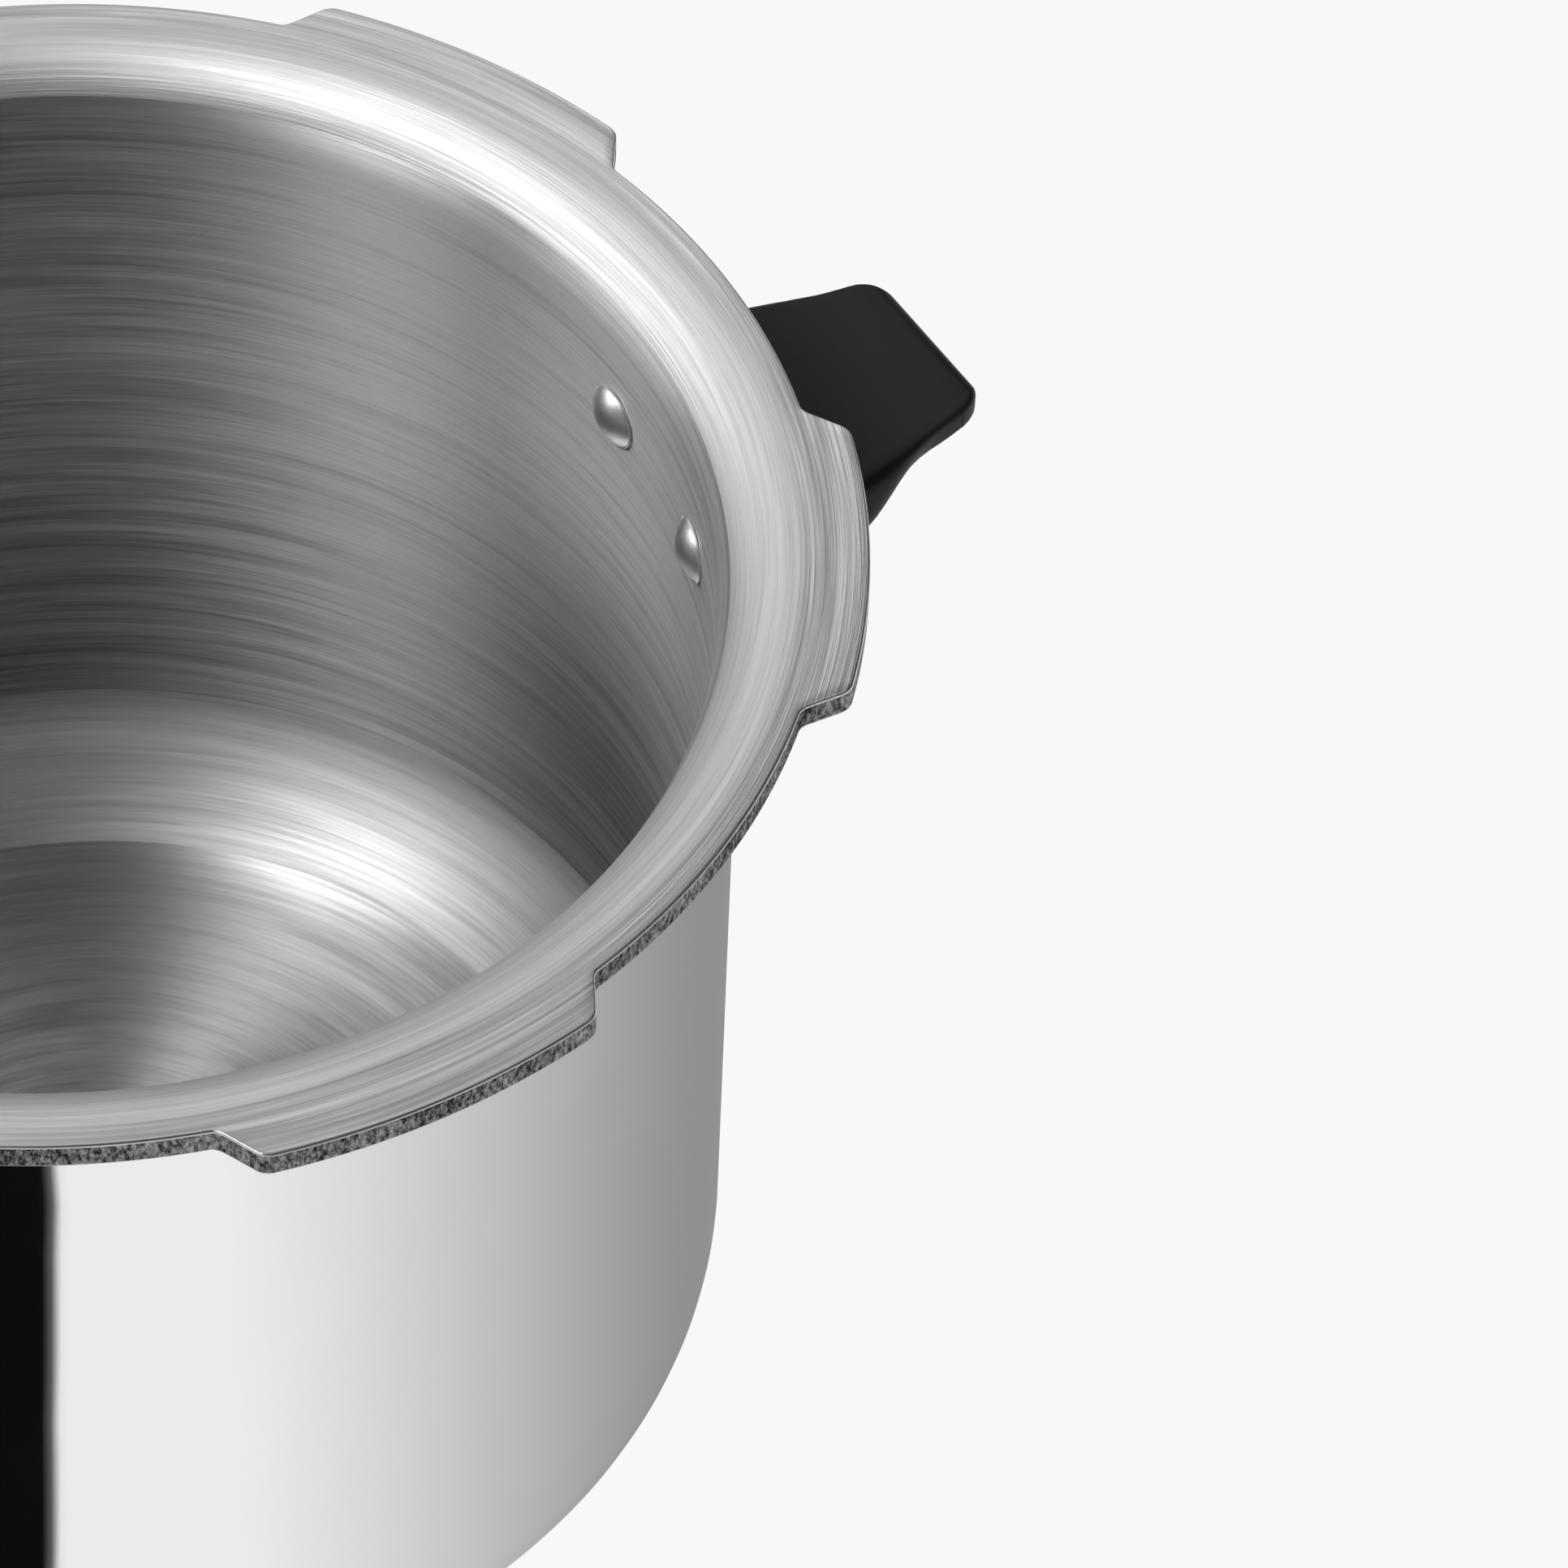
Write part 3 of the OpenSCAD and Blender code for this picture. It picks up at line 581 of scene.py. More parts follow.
def from_lug(turn):
    """How far in degrees an angle lies from the middle of the nearest lug."""
    return abs((turn - LUG_START + LUG_PITCH / 2) % LUG_PITCH - LUG_PITCH / 2)


def flange_edge(turn):
    """Radius of the flange's outline at an angle in degrees about the pan's axis."""
    if from_lug(turn) > LUG_ROOT + 4:
        return FLANGE_R
    return soft_max(lug_edge(from_lug(turn)), FLANGE_R, LUG_BLEND)


def lug_angles(low, high, fine, coarse):
    """Angles in degrees all round, fine apart from low to high off a lug's middle, where it ends,
    and coarse apart elsewhere."""
    found = []
    turn = 0.0
    while turn < 360.0 - 0.01:
        found.append(turn)
        turn += fine if low <= from_lug(turn) <= high else coarse
    return found


def pan_outline(edge):
    """Half section of the pan from the middle of its base, round the flange whose radius is edge,
    to the middle of its floor: (point, material of the face that ends there)."""
    under = PAN_H - FLANGE_T
    bowl = (INNER_R - INNER_CORNER_R, BASE_T + INNER_CORNER_R, INNER_CORNER_R)
    mouth = (INNER_R + FLARE_R, PAN_H - FLARE_R, FLARE_R)
    parts = [
        ([(0.0, 0.0)] + line((0, 0), (WALL_R - CORNER_R, 0.0), 6), BASE),
        (arc(WALL_R - CORNER_R, CORNER_R, CORNER_R, -90, 0, 16)[1:], OUTSIDE),
        (line((WALL_R, CORNER_R), (WALL_R, under - UNDER_R), 8), OUTSIDE),
        (arc(WALL_R + UNDER_R, under - UNDER_R, UNDER_R, 180, 90, 8)[1:], OUTSIDE),
        (line((WALL_R + UNDER_R, under), (edge - EDGE_R, under), 3), RIM),
        (arc(edge - EDGE_R, under + EDGE_R, EDGE_R, -90, 0, 3)[1:], RIM),
        (line((edge, under + EDGE_R), (edge, PAN_H - EDGE_R), 3), EDGE),
        (arc(edge - EDGE_R, PAN_H - EDGE_R, EDGE_R, 0, 90, 4)[1:], RIM),
        (line((edge - EDGE_R, PAN_H), (INNER_R + FLARE_R, PAN_H), 3), RIM),
        (arc(*mouth, 90, FLARE_SPLIT, 14)[1:], MOUTH),
        (arc(*mouth, FLARE_SPLIT, 180, 7)[1:], INSIDE),
        (line((INNER_R, PAN_H - FLARE_R), (INNER_R, BASE_T + INNER_CORNER_R), 10), INSIDE),
        (arc(*bowl, 0, BOWL_TOP, 1)[1:], INSIDE),
        (arc(*bowl, BOWL_TOP, BOWL_END, 14)[1:], BOWL),
        (arc(*bowl, BOWL_END, -90, 5)[1:], FLOOR),
        (line((INNER_R - INNER_CORNER_R, BASE_T), (0.0, BASE_T), 8), FLOOR),
    ]
    return [(point, mark) for points, mark in parts for point in points]


def pan_shell():
    """The pan itself: one skin round its wall, flange and lugs."""
    skin = Skin()
    turns = lug_angles(10.4, 17.2, 0.2, 0.9)
    columns = [pan_outline(flange_edge(t)) for t in turns]
    rings = []
    for row in range(len(columns[0])):
        ring = []
        for column, t in zip(columns, turns):
            (r, z), a = column[row][0], math.radians(t)
            ring.append((r * math.cos(a), r * math.sin(a), z))
        rings.append(ring)
    skin.loft(rings, [mark for _, mark in columns[0]][1:])
    return piece("pan_shell", skin, "pan_body", PAN_FINISHES, stands_for=["pan"],
                 crease=50.0)


def at_wall(side, turn, z):
    """Placement on the wall, in millimetres: +Z of the piece points inwards, to the pan's axis."""
    out = Matrix.Rotation(math.radians(turn + (180 if side < 0 else 0)), 4, "Z")
    seat = math.sqrt(INNER_R**2 - RIVET_HEAD_R**2)
    return out @ Matrix.Translation((seat, 0.0, z)) @ Matrix.Rotation(math.radians(-90), 4, "Y")


def rivet_pair(name, side, node):
    """Both rivets of one handle: bright domed heads inside, flat tails under the handle. side is 1
    for the helper handle and -1 for the long one."""
    skin = Skin()
    ball = (RIVET_HEAD_R**2 + RIVET_HEAD_H**2) / (2 * RIVET_HEAD_H)
    rim = math.degrees(math.asin((RIVET_HEAD_R - 0.35) / ball))
    dome = arc(0.0, RIVET_HEAD_H - ball, ball, 90, 90 - rim, 12)
    edge = arc(RIVET_HEAD_R - 0.35, 0.32, 0.35, 40, -60, 4)
    shank = [(2.4, -0.05), (2.4, -5.6), (3.5, -5.65), (3.8, -5.9), (3.8, -7.2), (3.5, -7.45),
             (0.0, -7.45)]
    for turn in (-RIVET_A, RIVET_A):
        skin.lathe(dome + edge + shank, 56, place=at_wall(side, turn, PAN_H - RIVET_DROP))
    return piece(name, skin, "pan_body", [BRIGHT], stands_for=[node], crease=60.0)


# ---- handles ----


def ring_at(x, levels, cuts, steps=5):
    """Cross section at x of a grip that is the same on both sides: levels holds (half width, z)
    from the top down."""
    right = [(w, z) for w, z in levels]
    left = [(-w, z) for w, z in reversed(levels)]
    return [(x, y, z) for y, z in rounded(right + left, list(cuts) + list(reversed(cuts)), steps)]


def end_pull(x, end, radius):
    """How far an edge has drawn in at x, where it rounds off towards an end."""
    past = max(x - (end - radius), 0.0)
    return radius - math.sqrt(max(radius * radius - past * past, 0.0))


def stations(marks, step):
    """Places along a grip: every mark, and evenly between them at most step apart."""
    found = [marks[0]]
    for a, b in zip(marks, marks[1:]):
        count = max(math.ceil((b - a) / step), 1)
        found += [a + (b - a) * i / count for i in range(1, count + 1)]
    return found


# The helper handle: heights from the rim down and half widths, at distances from the pan's axis
HELPER_TIP = 149.4
HELPER_TOP = [(102.0, -17.0), (118.0, -18.6), (126.0, -18.9), (137.5, -16.7), (147.0, -14.1),
              (151.0, -14.1)]
HELPER_LOW = [(125.5, -47.9), (139.4, -21.6), (147.0, -19.3), (151.0, -19.3)]
HELPER_HALF = [(102.0, 24.2), (118.0, 23.2), (126.0, 21.9), (142.0, 16.9), (151.0, 15.0)]
HELPER_RIDGE = [(102.0, -30.0), (118.0, -30.0), (127.0, -26.5), (135.2, -20.4), (139.0, -18.8),
                (151.0, -17.0)]


def helper_grip():
    """Stub handle: a dished top that rises to a thin finger lip, sides that flare to a ridge and
    draw in below it to a keel."""
    skin = Skin()
    rings = []
    near_end = [HELPER_TIP - 4.5 * (1 - math.sin(math.radians(a))) for a in range(6, 90, 7)]
    for x in stations([102.0, 110.0, 126.0, 146.0], 1.6) + near_end:
        z_top = eased(HELPER_TOP, x, 3.0) - end_pull(x, HELPER_TIP, 2.4)
        z_low = eased(HELPER_LOW, x, 2.4) + end_pull(x, HELPER_TIP, 2.4)
        half = eased(HELPER_HALF, x, 3.0) - end_pull(x, HELPER_TIP, 4.5)
        deep = z_top - z_low
        z_ridge = min(max(eased(HELPER_RIDGE, x, 1.5), z_low + 0.45 * deep), z_top - 1.0)
        flare = 2.3 * smooth(140.0, 128.0, x) * smooth(103.0, 122.0, x)
        keel = half + flare - 0.8 * max(z_ridge - z_low - 2.0, 0.0) * smooth(109.0, 122.0, x)
        levels = [(half, PAN_H + z_top), (half + flare, PAN_H + z_ridge),
                  (max(keel, 8.2), PAN_H + z_low)]
        rings.append(ring_at(x, levels, [min(cut, deep / 3) for cut in (2.4, 3.0, 3.0)]))
    for ring in rings:       # the tip bows outwards in plan and leans a little to one side
        for i, (x, y, z) in enumerate(ring):
            bow = (y * y / 185.0 + 0.15 * y) * smooth(128.0, 149.0, x)
            ring[i] = (x - bow, y, z)
    skin.loft(rings, capped=True)
    made = piece("helper_grip", skin, "pan_body", [BLACK],
                 stands_for=["helper_handle"])
    carve(made, screw_pits([117.0], PAN_H - 50.0, PAN_H - 43.5))
    return made


def screw_pits(places, low, seat):
    """Cutter for the pits that the screws of a grip sit in."""
    pits = Skin()
    for x in places:
        pits.lathe([(0.0, low), (4.5, low), (4.5, seat), (0.0, seat)], 40,
                   place=Matrix.Translation((x, 0, 0)))
    return pits


def bar_half(x, root, start):
    """Half width of a long handle: wide root, waisted grip, round end."""
    centre = LONG_OUT - LONG_END_R
    plan = [(start, root), (start + 14, root), (start + 40, 14.5), (start + 60, 12.5),
            (LONG_OUT - 70, 12.5), (centre, LONG_END_R)]
    if x > centre:
        return math.sqrt(max(LONG_END_R * LONG_END_R - (x - centre) ** 2, 0.0))
    return eased(plan, x, min(4.0, centre - x, x - start + 0.01))


def bar_rings(marks, tops, lows, root, start, base, cuts, soft):
    """Cross sections of a long handle along +X, from its side view and its plan."""
    centre = LONG_OUT - LONG_END_R
    near_end = [centre + LONG_END_R * math.sin(math.radians(a)) for a in range(7, 89, 5)]
    rings = []
    for x in stations(marks + [centre], 2.5) + near_end:
        z_top = eased(tops, x, soft) - end_pull(x, LONG_OUT, 5.0)
        z_low = eased(lows, x, min(soft, max(x - marks[0], 0.1))) + end_pull(x, LONG_OUT, 5.0)
        half = bar_half(x, root, start)
        crown = min(0.9, 0.06 * half)
        levels = [(half * 0.62, base + z_top), (half, base + z_top - crown - 3.0),
                  (half, base + z_low + 3.0), (half * 0.7, base + z_low)]
        rings.append(ring_at(x, levels, cuts, 4))
    return rings


def eye_cutter(x, low, high):
    """Cutter for a hanging eye with softened mouths."""
    eye = Skin()
    mouth = EYE_R + 1.3
    outline = [(0.0, low - 2), (mouth, low - 2), (mouth, low), (EYE_R, low + 1.5),
               (EYE_R, high - 1.5), (mouth, high), (mouth, high + 2), (0.0, high + 2)]
    eye.lathe(outline, 48, place=Matrix.Translation((x, 0, 0)))
    return eye


def merged(*skins):
    """Several skins as one."""
    whole = Skin()
    for skin in skins:
        first = len(whole.points)
        whole.points.extend(skin.points)
        whole.faces.extend(tuple(i + first for i in face) for face in skin.faces)
        whole.marks.extend(skin.marks)
    return whole


def long_grip():
    """The pan's long handle: deep at the wall, stepped down to pass under the lid's skirt."""
    tops = [(102.0, -15.0), (111.0, -12.0), (131.5, -12.0), (135.0, -3.2), (289.0, -3.2)]
    lows = [(102.0, -46.0), (150.0, -46.0), (168.0, -28.5), (190.0, -26.5), (215.0, -26.5),
            (248.0, -25.0), (289.0, -25.0)]
    skin = Skin()
    marks = [102.0, 111.0, 128.0, 131.5, 133.0, 135.0, 138.0, 150.0, 168.0, 218.0]
    rings = bar_rings(marks, tops, lows, 24.5, 102.0, PAN_H, (3.5, 4.0, 4.0, 3.5), 1.6)
    skin.loft(rings, capped=True)
    made = piece("long_grip", skin, "pan_body", [BLACK],
                 place=Matrix.Rotation(math.pi, 4, "Z"), stands_for=["long_handle"])
    pits = screw_pits([121.0, 142.0], PAN_H - 50.0, PAN_H - 42.5)
    carve(made, merged(pits, eye_cutter(EYE_X, PAN_H - 25.0, PAN_H - 3.2)))
    return made


# ---- lid: its own frame has the rim plane at z = 0 and its handle along -X ----


LID_FINISHES = [SPUN_LID, SATIN_LID, MACHINED]
LID_TOP, LID_UNDER, LID_EDGE = range(len(LID_FINISHES))


def lid_place():
    """Where the lid lies, for pieces made in the lid's own frame."""
    there = Matrix.Translation(Vector((LID_X, LID_Y, LID_SEAT)) * MM)
    return there @ Matrix.Rotation(math.radians(LID_TURN), 4, "Z")


def dome_height(r, outside):
    """Height of the dome's outside or inside at a distance from its axis."""
    return DOME_Z + math.sqrt((DOME_R + (LID_T if outside else 0.0)) ** 2 - r * r)


def bent(a, corner, b, steps):
    """Points of a soft bend from a to b round a corner, without a itself."""
    found = []
    for i in range(1, steps + 1):
        t = i / steps
        found.append(tuple((1 - t) ** 2 * p + 2 * t * (1 - t) * c + t * t * q
                           for p, c, q in zip(a, corner, b)))
    return found


def lid_outline(edge):
    """Half section of the lid's metal from the dome's top, down the skirt, round a lug whose inner
    radius is edge, and back under the dome: (point, material)."""
    radii = [0.0] + [2.2 * i for i in range(1, 12)] + [25.0 + 1.1 * i for i in range(30)]
    radii += [60.0 + 4.2 * i for i in range(10)]
    crest = SEAL_H + LID_T
    bend_r = 5.86
    bend = (SKIRT_R + LID_T - bend_r, crest - bend_r)
    side = SKIRT_R + LID_T
    k = (SKIRT_R - edge) / (SKIRT_R - LID_LUG_R)
    parts = [
        ([(r, dome_height(r, True)) for r in radii], LID_TOP),
        (bent((97.8, dome_height(97.8, True)), (104.8, crest), (110.5, crest), 7), LID_TOP),
        (line((110.5, crest), (bend[0], crest), 4), LID_TOP),
        (arc(*bend, bend_r, 90, 0, 9)[1:], LID_TOP),
        (line((side, bend[1]), (side, SKIRT_LOW + 0.4), 7), LID_TOP),
        (arc(side - 0.4, SKIRT_LOW + 0.4, 0.4, 0, -90, 3)[1:], LID_TOP),
        (line((side - 0.4, SKIRT_LOW), (SKIRT_R + 0.4, SKIRT_LOW), 1), LID_EDGE),
        ([(SKIRT_R, SKIRT_LOW + 0.4), (edge + 0.5 * k, LID_LUG_LOW),
          (edge, LID_LUG_LOW + 0.5 * k)], LID_EDGE),
        ([(edge, LID_LUG_TOP - 0.5 * k), (edge + 0.5 * k, LID_LUG_TOP),
          (SKIRT_R, LID_LUG_TOP)], LID_EDGE),
        (line((SKIRT_R, LID_LUG_TOP), (SKIRT_R, SEAL_H - 2.5), 5), LID_UNDER),
        (arc(SKIRT_R - 2.5, SEAL_H - 2.5, 2.5, 0, 90, 5)[1:], LID_UNDER),
        (line((SKIRT_R - 2.5, SEAL_H), (107.5, SEAL_H), 3), LID_UNDER),
        (bent((107.5, SEAL_H), (104.1, SEAL_H), (99.5, dome_height(99.5, False)), 4), LID_UNDER),
        ([(r, dome_height(r, False)) for r in reversed(radii) if r < 98.0], LID_UNDER),
    ]
    return [(point, mark) for points, mark in parts for point in points]


def seated(x, y, z, outside):
    """The dome's height once the three flat seats are pressed into it."""
    r = math.hypot(x, y)
    if r > 62.0 or z < 20.0:
        return z
    level = VENT_SEAT[1] if outside else VENT_SEAT[0]
    z += (level - z) * (1 - smooth(10.4, 12.8, r))
    for turn in (SAFETY_A, INDICATOR_A):
        a = math.radians(turn)
        away = math.hypot(x - VALVE_D * math.cos(a), y - VALVE_D * math.sin(a))
        level = VALVE_SEAT[1] if outside else VALVE_SEAT[0]
        z += (level - z) * (1 - smooth(10.0, 13.0, away))
    return z


def lid_cover():
    """The lid's pressed shell with its skirt, the six lugs under it and the skirt's window."""
    turns = lug_angles(LID_LUG_A - 0.9, LID_LUG_A + 0.7, 0.25, 1.25)
    columns = []
    for t in turns:
        inward = 1 - smooth(LID_LUG_A - 0.6, LID_LUG_A, from_lug(t))
        columns.append(lid_outline(SKIRT_R - (SKIRT_R - LID_LUG_R) * inward))
    under = next(i for i, (point, mark) in enumerate(columns[0]) if mark == LID_EDGE)
    rings = []
    for row in range(len(columns[0])):
        ring = []
        for column, t in zip(columns, turns):
            (r, z), a = column[row][0], math.radians(t)
            x, y = r * math.cos(a), r * math.sin(a)
            ring.append((x, y, seated(x, y, z, row < under)))
        rings.append(ring)
    skin = Skin()
    skin.loft(rings, [mark for _, mark in columns[0]][1:])
    made = piece("lid_cover", skin, "lid", LID_FINISHES, place=lid_place(),
                 stands_for=["lid_shell"], crease=42.0)
    window = Skin()
    low, high = WINDOW_Z
    corners = [(WINDOW_HALF, low), (WINDOW_HALF, high), (-WINDOW_HALF, high), (-WINDOW_HALF, low)]
    frame_line = rounded(corners, 1.4, 4)
    window.loft([[(x, y, z) for y, z in frame_line] for x in (SKIRT_R - 3.0, SKIRT_R + 5.0)],
                capped=True)
    carve(made, window, 42.0)
    return made


def gasket_ring():
    """Sealing ring in the lid's channel: a C whose two lips point inwards."""
    corners = [(125.7, 0.1), (125.7, 7.1), (107.5, 7.1), (107.5, 4.9), (120.7, 4.9),
               (120.7, 2.3), (107.5, 2.3), (107.5, 0.1)]
    outline = rounded(corners, [1.2, 2.6, 0.8, 0.8, 0.9, 0.9, 0.8, 0.8], 4)
    skin = Skin()
    skin.lathe(outline, 192, looped=True)
    return piece("gasket_ring", skin, "gasket_ring", [GASKET], place=lid_place(),
                 stands_for=["gasket"], crease=50.0)


def lid_grip():
    """The lid's long handle: a nose that bridges the lid's shoulder, then a grip above the pan's."""
    tops = [(107.0, 15.0), (112.0, 19.5), (122.0, 21.0), (190.0, 17.5), (225.0, 16.5),
            (248.0, 17.0), (289.0, 13.0)]
    lows = [(107.0, 10.6), (129.9, 10.6), (130.4, -2.2), (289.0, -2.2)]
    skin = Skin()
    marks = [107.0, 108.2, 110.0, 114.0, 122.0, 129.2, 130.0, 130.6, 131.6, 145.0, 218.0]
    rings = bar_rings(marks, tops, lows, 16.0, 104.0, 0.0, (3.0, 3.0, 3.0, 3.0), 0.8)
    skin.loft(rings, capped=True)
    made = piece("lid_grip", skin, "lid", [BLACK],
                 place=lid_place() @ Matrix.Rotation(math.pi, 4, "Z"), stands_for=["lid_handle"])
    carve(made, screw_pits([139.0, 151.0], -6.0, 3.0))
    return made


def weight_pieces():
    """The pressure weight: a turned steel body with six steam ports and a black finger knob."""
    corners = [(0.0, 55.1), (4.55, 55.1), (4.55, 44.8), (11.0, 44.8), (11.0, 41.8), (15.5, 41.8),
               (15.5, 60.4), (14.9, 61.0), (15.5, 61.6), (15.5, 65.8), (7.0, 65.8), (7.0, 71.8),
               (0.0, 71.8)]
    cuts = [0.0, 0.1, 0.6, 0.3, 0.5, 0.8, 0.3, 0.3, 0.3, 1.4, 0.4, 0.4, 0.0]
    body = Skin()
    body.lathe(rounded(corners, cuts, 4, closed=False), 96)
    made = piece("weight_drum", body, "weight", [CHROME], place=lid_place(),
                 stands_for=["weight_body"], crease=45.0)
    ports = Skin()
    for i in range(6):
        turn = Matrix.Rotation(math.radians(60 * i), 4, "Z")
        lean = turn @ Matrix.Translation((0, 0, 47.8)) @ Matrix.Rotation(math.pi / 2, 4, "Y")
        ports.lathe([(0.0, 3.0), (1.4, 3.0), (1.4, 17.0), (0.0, 17.0)], 24, place=lean)
    carve(made, ports, 45.0)
    knob = Skin()
    outline = [(7.1, 65.85), (9.5, 65.85), (9.3, 68.2), (10.2, 70.6), (11.5, 72.4), (11.5, 75.9)]
    crown = [(11.5, 75.9), (10.4, 77.4), (7.6, 78.1), (4.0, 78.3), (0.0, 78.35)]
    knob.lathe(rounded(outline + crown[1:] + [(0.0, 71.9), (7.1, 71.9)], 1.0, 4), 96, looped=True)
    piece("weight_knob", knob, "weight", [BLACK], place=lid_place(),
          stands_for=["weight_cap"], crease=50.0)


# ---- stage, light and camera ----

# The camera as solved from the circles of the pan's rim
CAMERA_AT = Vector((-264.9, -788.6, 1078.5)) * MM
CAMERA_HEADING = math.radians(63.64)
CAMERA_DIP = math.radians(49.06)
CAMERA_ROLL = math.radians(2.78)
CAMERA_LENS = 184.0

FLOOR_HALF = 12000.0
CARD_FALL = 1.3              # how far the mirrored line of sight drops for each millimetre outwards
CARD_TURNS = (-123.0, -12.0)
CARD_STEP = 0.75
CARD_HEIGHTS = [-110.0, -60.0, 0.0, 45.0, 90.0, 135.0, 180.0, 215.0]
CARD_LEAN = 2.8

# name, azimuth, elevation, distance, width, height, radiance; degrees and metres
LIGHTS = [
    ("light_left", 184, 54, 1.6, 0.6, 0.85, 7.8),
    ("light_side", 152, 22, 1.8, 1.1, 0.45, 4.6),
    ("light_back", 94, 38, 2.0, 2.9, 1.2, 0.85),
    ("light_top", 40, 74, 1.8, 0.9, 0.6, 1.0),
]


def add_camera():
    ahead = Vector((
        math.cos(CAMERA_DIP) * math.cos(CAMERA_HEADING),
        math.cos(CAMERA_DIP) * math.sin(CAMERA_HEADING),
        -math.sin(CAMERA_DIP),
    ))
    level = Vector((math.sin(CAMERA_HEADING), -math.cos(CAMERA_HEADING), 0.0))
    above = level.cross(ahead)
    right = math.cos(CAMERA_ROLL) * level + math.sin(CAMERA_ROLL) * above
    up = -math.sin(CAMERA_ROLL) * level + math.cos(CAMERA_ROLL) * above
    pose = Matrix((right, up, -ahead)).transposed().to_4x4()
    pose.translation = CAMERA_AT
    data = bpy.data.cameras.new("camera")
    data.lens = CAMERA_LENS
    data.sensor_width = 36.0
    data.clip_start = 0.05
    data.clip_end = 60.0
    made = in_scene("camera", data)
    made.matrix_world = pose
    bpy.context.scene.camera = made


def glow(name, strength):
    """Material that only shines, evenly and in white."""
    made = bpy.data.materials.new(name)
    made.use_nodes = True
    nodes = made.node_tree.nodes
    nodes.clear()
    light = nodes.new("ShaderNodeEmission")
    light.inputs["Color"].default_value = (1.0, 1.0, 1.0, 1.0)
    light.inputs["Strength"].default_value = strength
    out = nodes.new("ShaderNodeOutputMaterial")
    made.node_tree.links.new(light.outputs["Emission"], out.inputs["Surface"])
    return made


def stage_sheet(name, points, faces, finish):
    """A flat mesh, in millimetres, that is part of the stage and not of the object."""
    mesh = bpy.data.meshes.new(name)
    mesh.from_pydata([Vector(p) * MM for p in points], [], faces)
    mesh.materials.append(finish)
    made = in_scene(name, mesh)
    return made


def add_floor():
    """A pale floor for the camera, and below it another that lights the object from beneath."""
    signs = ((-1, -1), (1, -1), (1, 1), (-1, 1))
    corners = [(x * FLOOR_HALF, y * FLOOR_HALF, -0.1) for x, y in signs]
    floor = stage_sheet("floor", corners, [(0, 1, 2, 3)], glow("pale_floor", 0.939))
    floor.visible_glossy = False
    floor.visible_diffuse = False
    floor.visible_shadow = False
    low = [(x, y, -0.4) for x, y, _ in corners]
    bounce = stage_sheet("bounce", low, [(0, 1, 2, 3)], glow("floor_bounce", 0.75))
    bounce.visible_camera = False


def wall_reflection(turn):
    """What the outer wall mirrors where it faces an angle in degrees: a black flag at the left, a
    bright sheet beside it, and a slow fall to grey towards the right."""
    flag = smooth(-113.5, -112.3, turn)
    fall = min(max((turn + 98.0) / 62.0, 0.0), 1.0)
    grey_fall = 0.95 - 0.66 * math.sin(fall * math.pi / 2) ** 1.1
    tone = 0.004 + flag * grey_fall
    return tone + (0.95 - tone) * smooth(-22.0, -13.0, turn)


def mirrored_heading(turn):
    """Direction in degrees in which the wall mirrors the camera's line, where it faces turn."""
    sight = math.degrees(math.atan2(WALL_R * math.sin(math.radians(turn)) - CAMERA_AT.y / MM,
                                    WALL_R * math.cos(math.radians(turn)) - CAMERA_AT.x / MM))
    return 2 * turn + 180.0 - sight


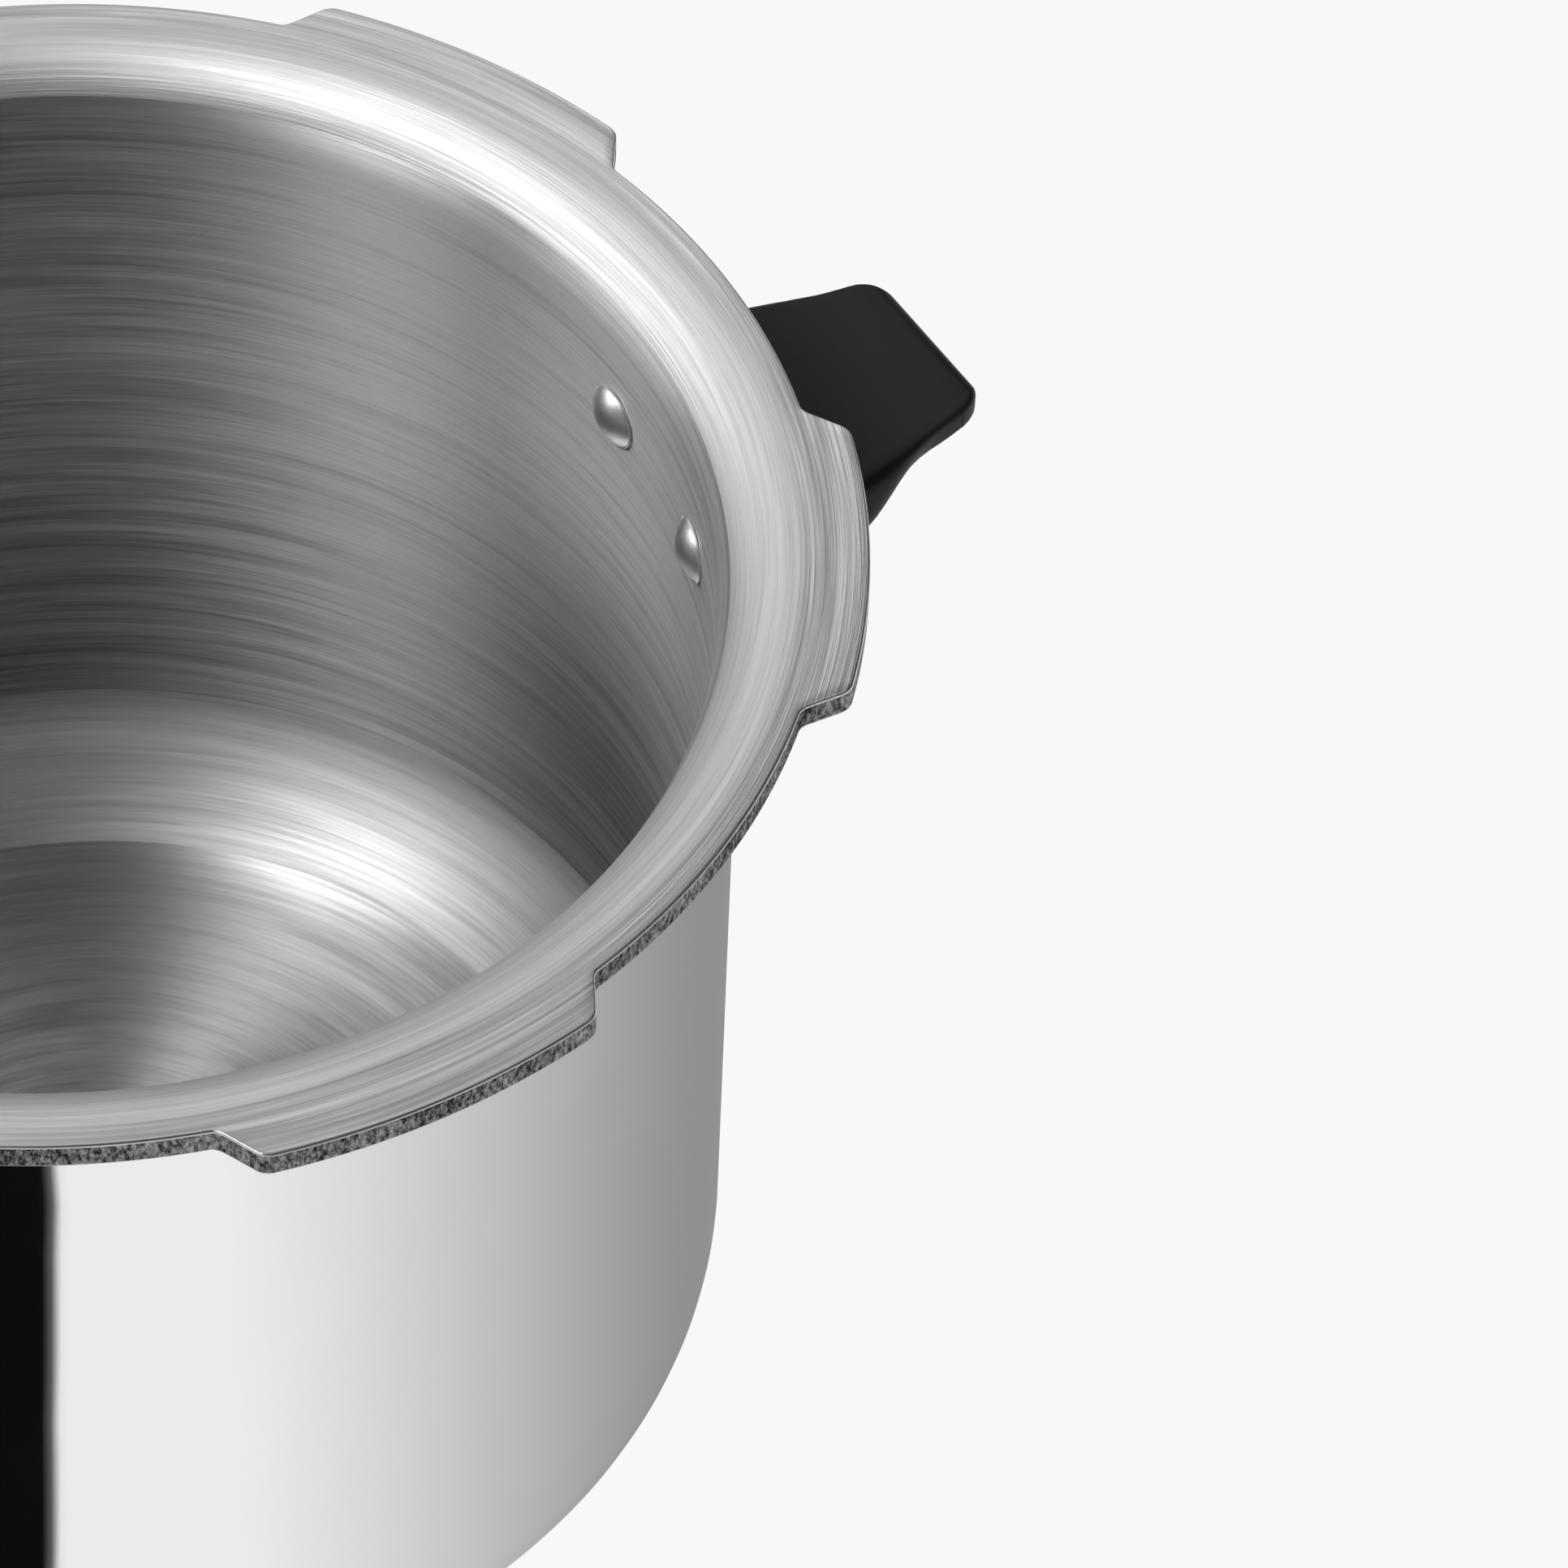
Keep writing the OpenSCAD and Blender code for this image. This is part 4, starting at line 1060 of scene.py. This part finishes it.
def add_wall_card():
    """A card on the floor round the pan's foot, seen only in reflections. From the camera, each
    strip of it is mirrored in the polished wall as one upright line. The strips at the left turn a
    little with height, so that the black stripe's edge comes out straight."""
    points, faces, tones = [], [], []
    first, last = CARD_TURNS
    turns = [first + CARD_STEP * i for i in range(int((last - first) / CARD_STEP))]
    for turn in turns:
        lean = -CARD_LEAN * smooth(-95.0, -110.0, turn)
        for z in CARD_HEIGHTS:
            at = turn - lean * min(max((z - 70.0) / 140.0, -1.0), 1.0)
            a, b = math.radians(at), math.radians(mirrored_heading(at))
            out = max(z, 0.0) / CARD_FALL
            r = WALL_R + min(z, 0.0)
            points.append((r * math.cos(a) + out * math.cos(b),
                           r * math.sin(a) + out * math.sin(b), -0.2))
            tones.append(wall_reflection(turn))
    rows = len(CARD_HEIGHTS)
    for i in range(len(turns) - 1):
        for j in range(rows - 1):
            k = i * rows + j
            faces.append((k, k + 1, k + rows + 1, k + rows))
    finish = glow("wall_card", 1.0)
    nodes = finish.node_tree.nodes
    tone = nodes.new("ShaderNodeAttribute")
    tone.attribute_name = "tone"
    finish.node_tree.links.new(tone.outputs["Fac"], nodes["Emission"].inputs["Strength"])
    card = stage_sheet("wall_card", points, faces, finish)
    layer = card.data.attributes.new("tone", "FLOAT", "POINT")
    layer.data.foreach_set("value", tones)
    card.visible_camera = False
    card.visible_diffuse = False
    card.visible_shadow = False


def softbox(name, azimuth, elevation, distance, width, height, radiance):
    """Square light at a place about the pan's mouth, aimed at it."""
    data = bpy.data.lights.new(name, "AREA")
    data.shape = "RECTANGLE"
    data.size = width
    data.size_y = height
    data.energy = radiance * math.pi * width * height
    made = in_scene(name, data)
    a, e = math.radians(azimuth), math.radians(elevation)
    aim = Vector((0.0, 0.0, PAN_H * MM))
    at = aim + distance * Vector((math.cos(e) * math.cos(a), math.cos(e) * math.sin(a), math.sin(e)))
    made.matrix_world = Matrix.Translation(at) @ (at - aim).to_track_quat("Z", "Y").to_matrix().to_4x4()
    made.visible_camera = False
    return made


def add_lights():
    for light in LIGHTS:
        softbox(*light)
    world = bpy.data.worlds.new("studio")
    world.use_nodes = True
    sky = world.node_tree.nodes["Background"]
    sky.inputs["Color"].default_value = (1.0, 1.0, 1.0, 1.0)
    sky.inputs["Strength"].default_value = 0.02
    bpy.context.scene.world = world
    bpy.context.scene.view_settings.view_transform = "Standard"


# ---- the object ----

pan_shell()
rivet_pair("helper_rivet_pair", 1, "helper_rivets")
rivet_pair("long_rivet_pair", -1, "long_rivets")
helper_grip()
long_grip()
lid_cover()
gasket_ring()
lid_grip()
weight_pieces()
for made in PLACED:
    square_up(made)

# Nodes that are shown as the CAD made them, with a finish
FINISHES = {
    "helper_bracket": BRACKET, "helper_screw": STEEL, "long_bracket": BRACKET,
    "long_handle_screws": STEEL, "lid_bracket": BRACKET, "lid_rivets": BRIGHT,
    "lid_handle_screws": STEEL, "vent_pipe": STEEL,
    "vent_washer": WASHER, "vent_nut": STEEL, "safety_plug": BRASS, "safety_core": ALLOY,
    "safety_washer": WASHER, "safety_nut": BRASS, "indicator_bush": STEEL, "indicator_nut": STEEL,
    "indicator_pin": RED, "indicator_seal": WASHER, "weight_needle": STEEL,
}
for node, finish in FINISHES.items():
    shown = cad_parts[node]
    shown.data.materials.clear()
    shown.data.materials.append(finish)

add_floor()
add_wall_card()
add_camera()
add_lights()
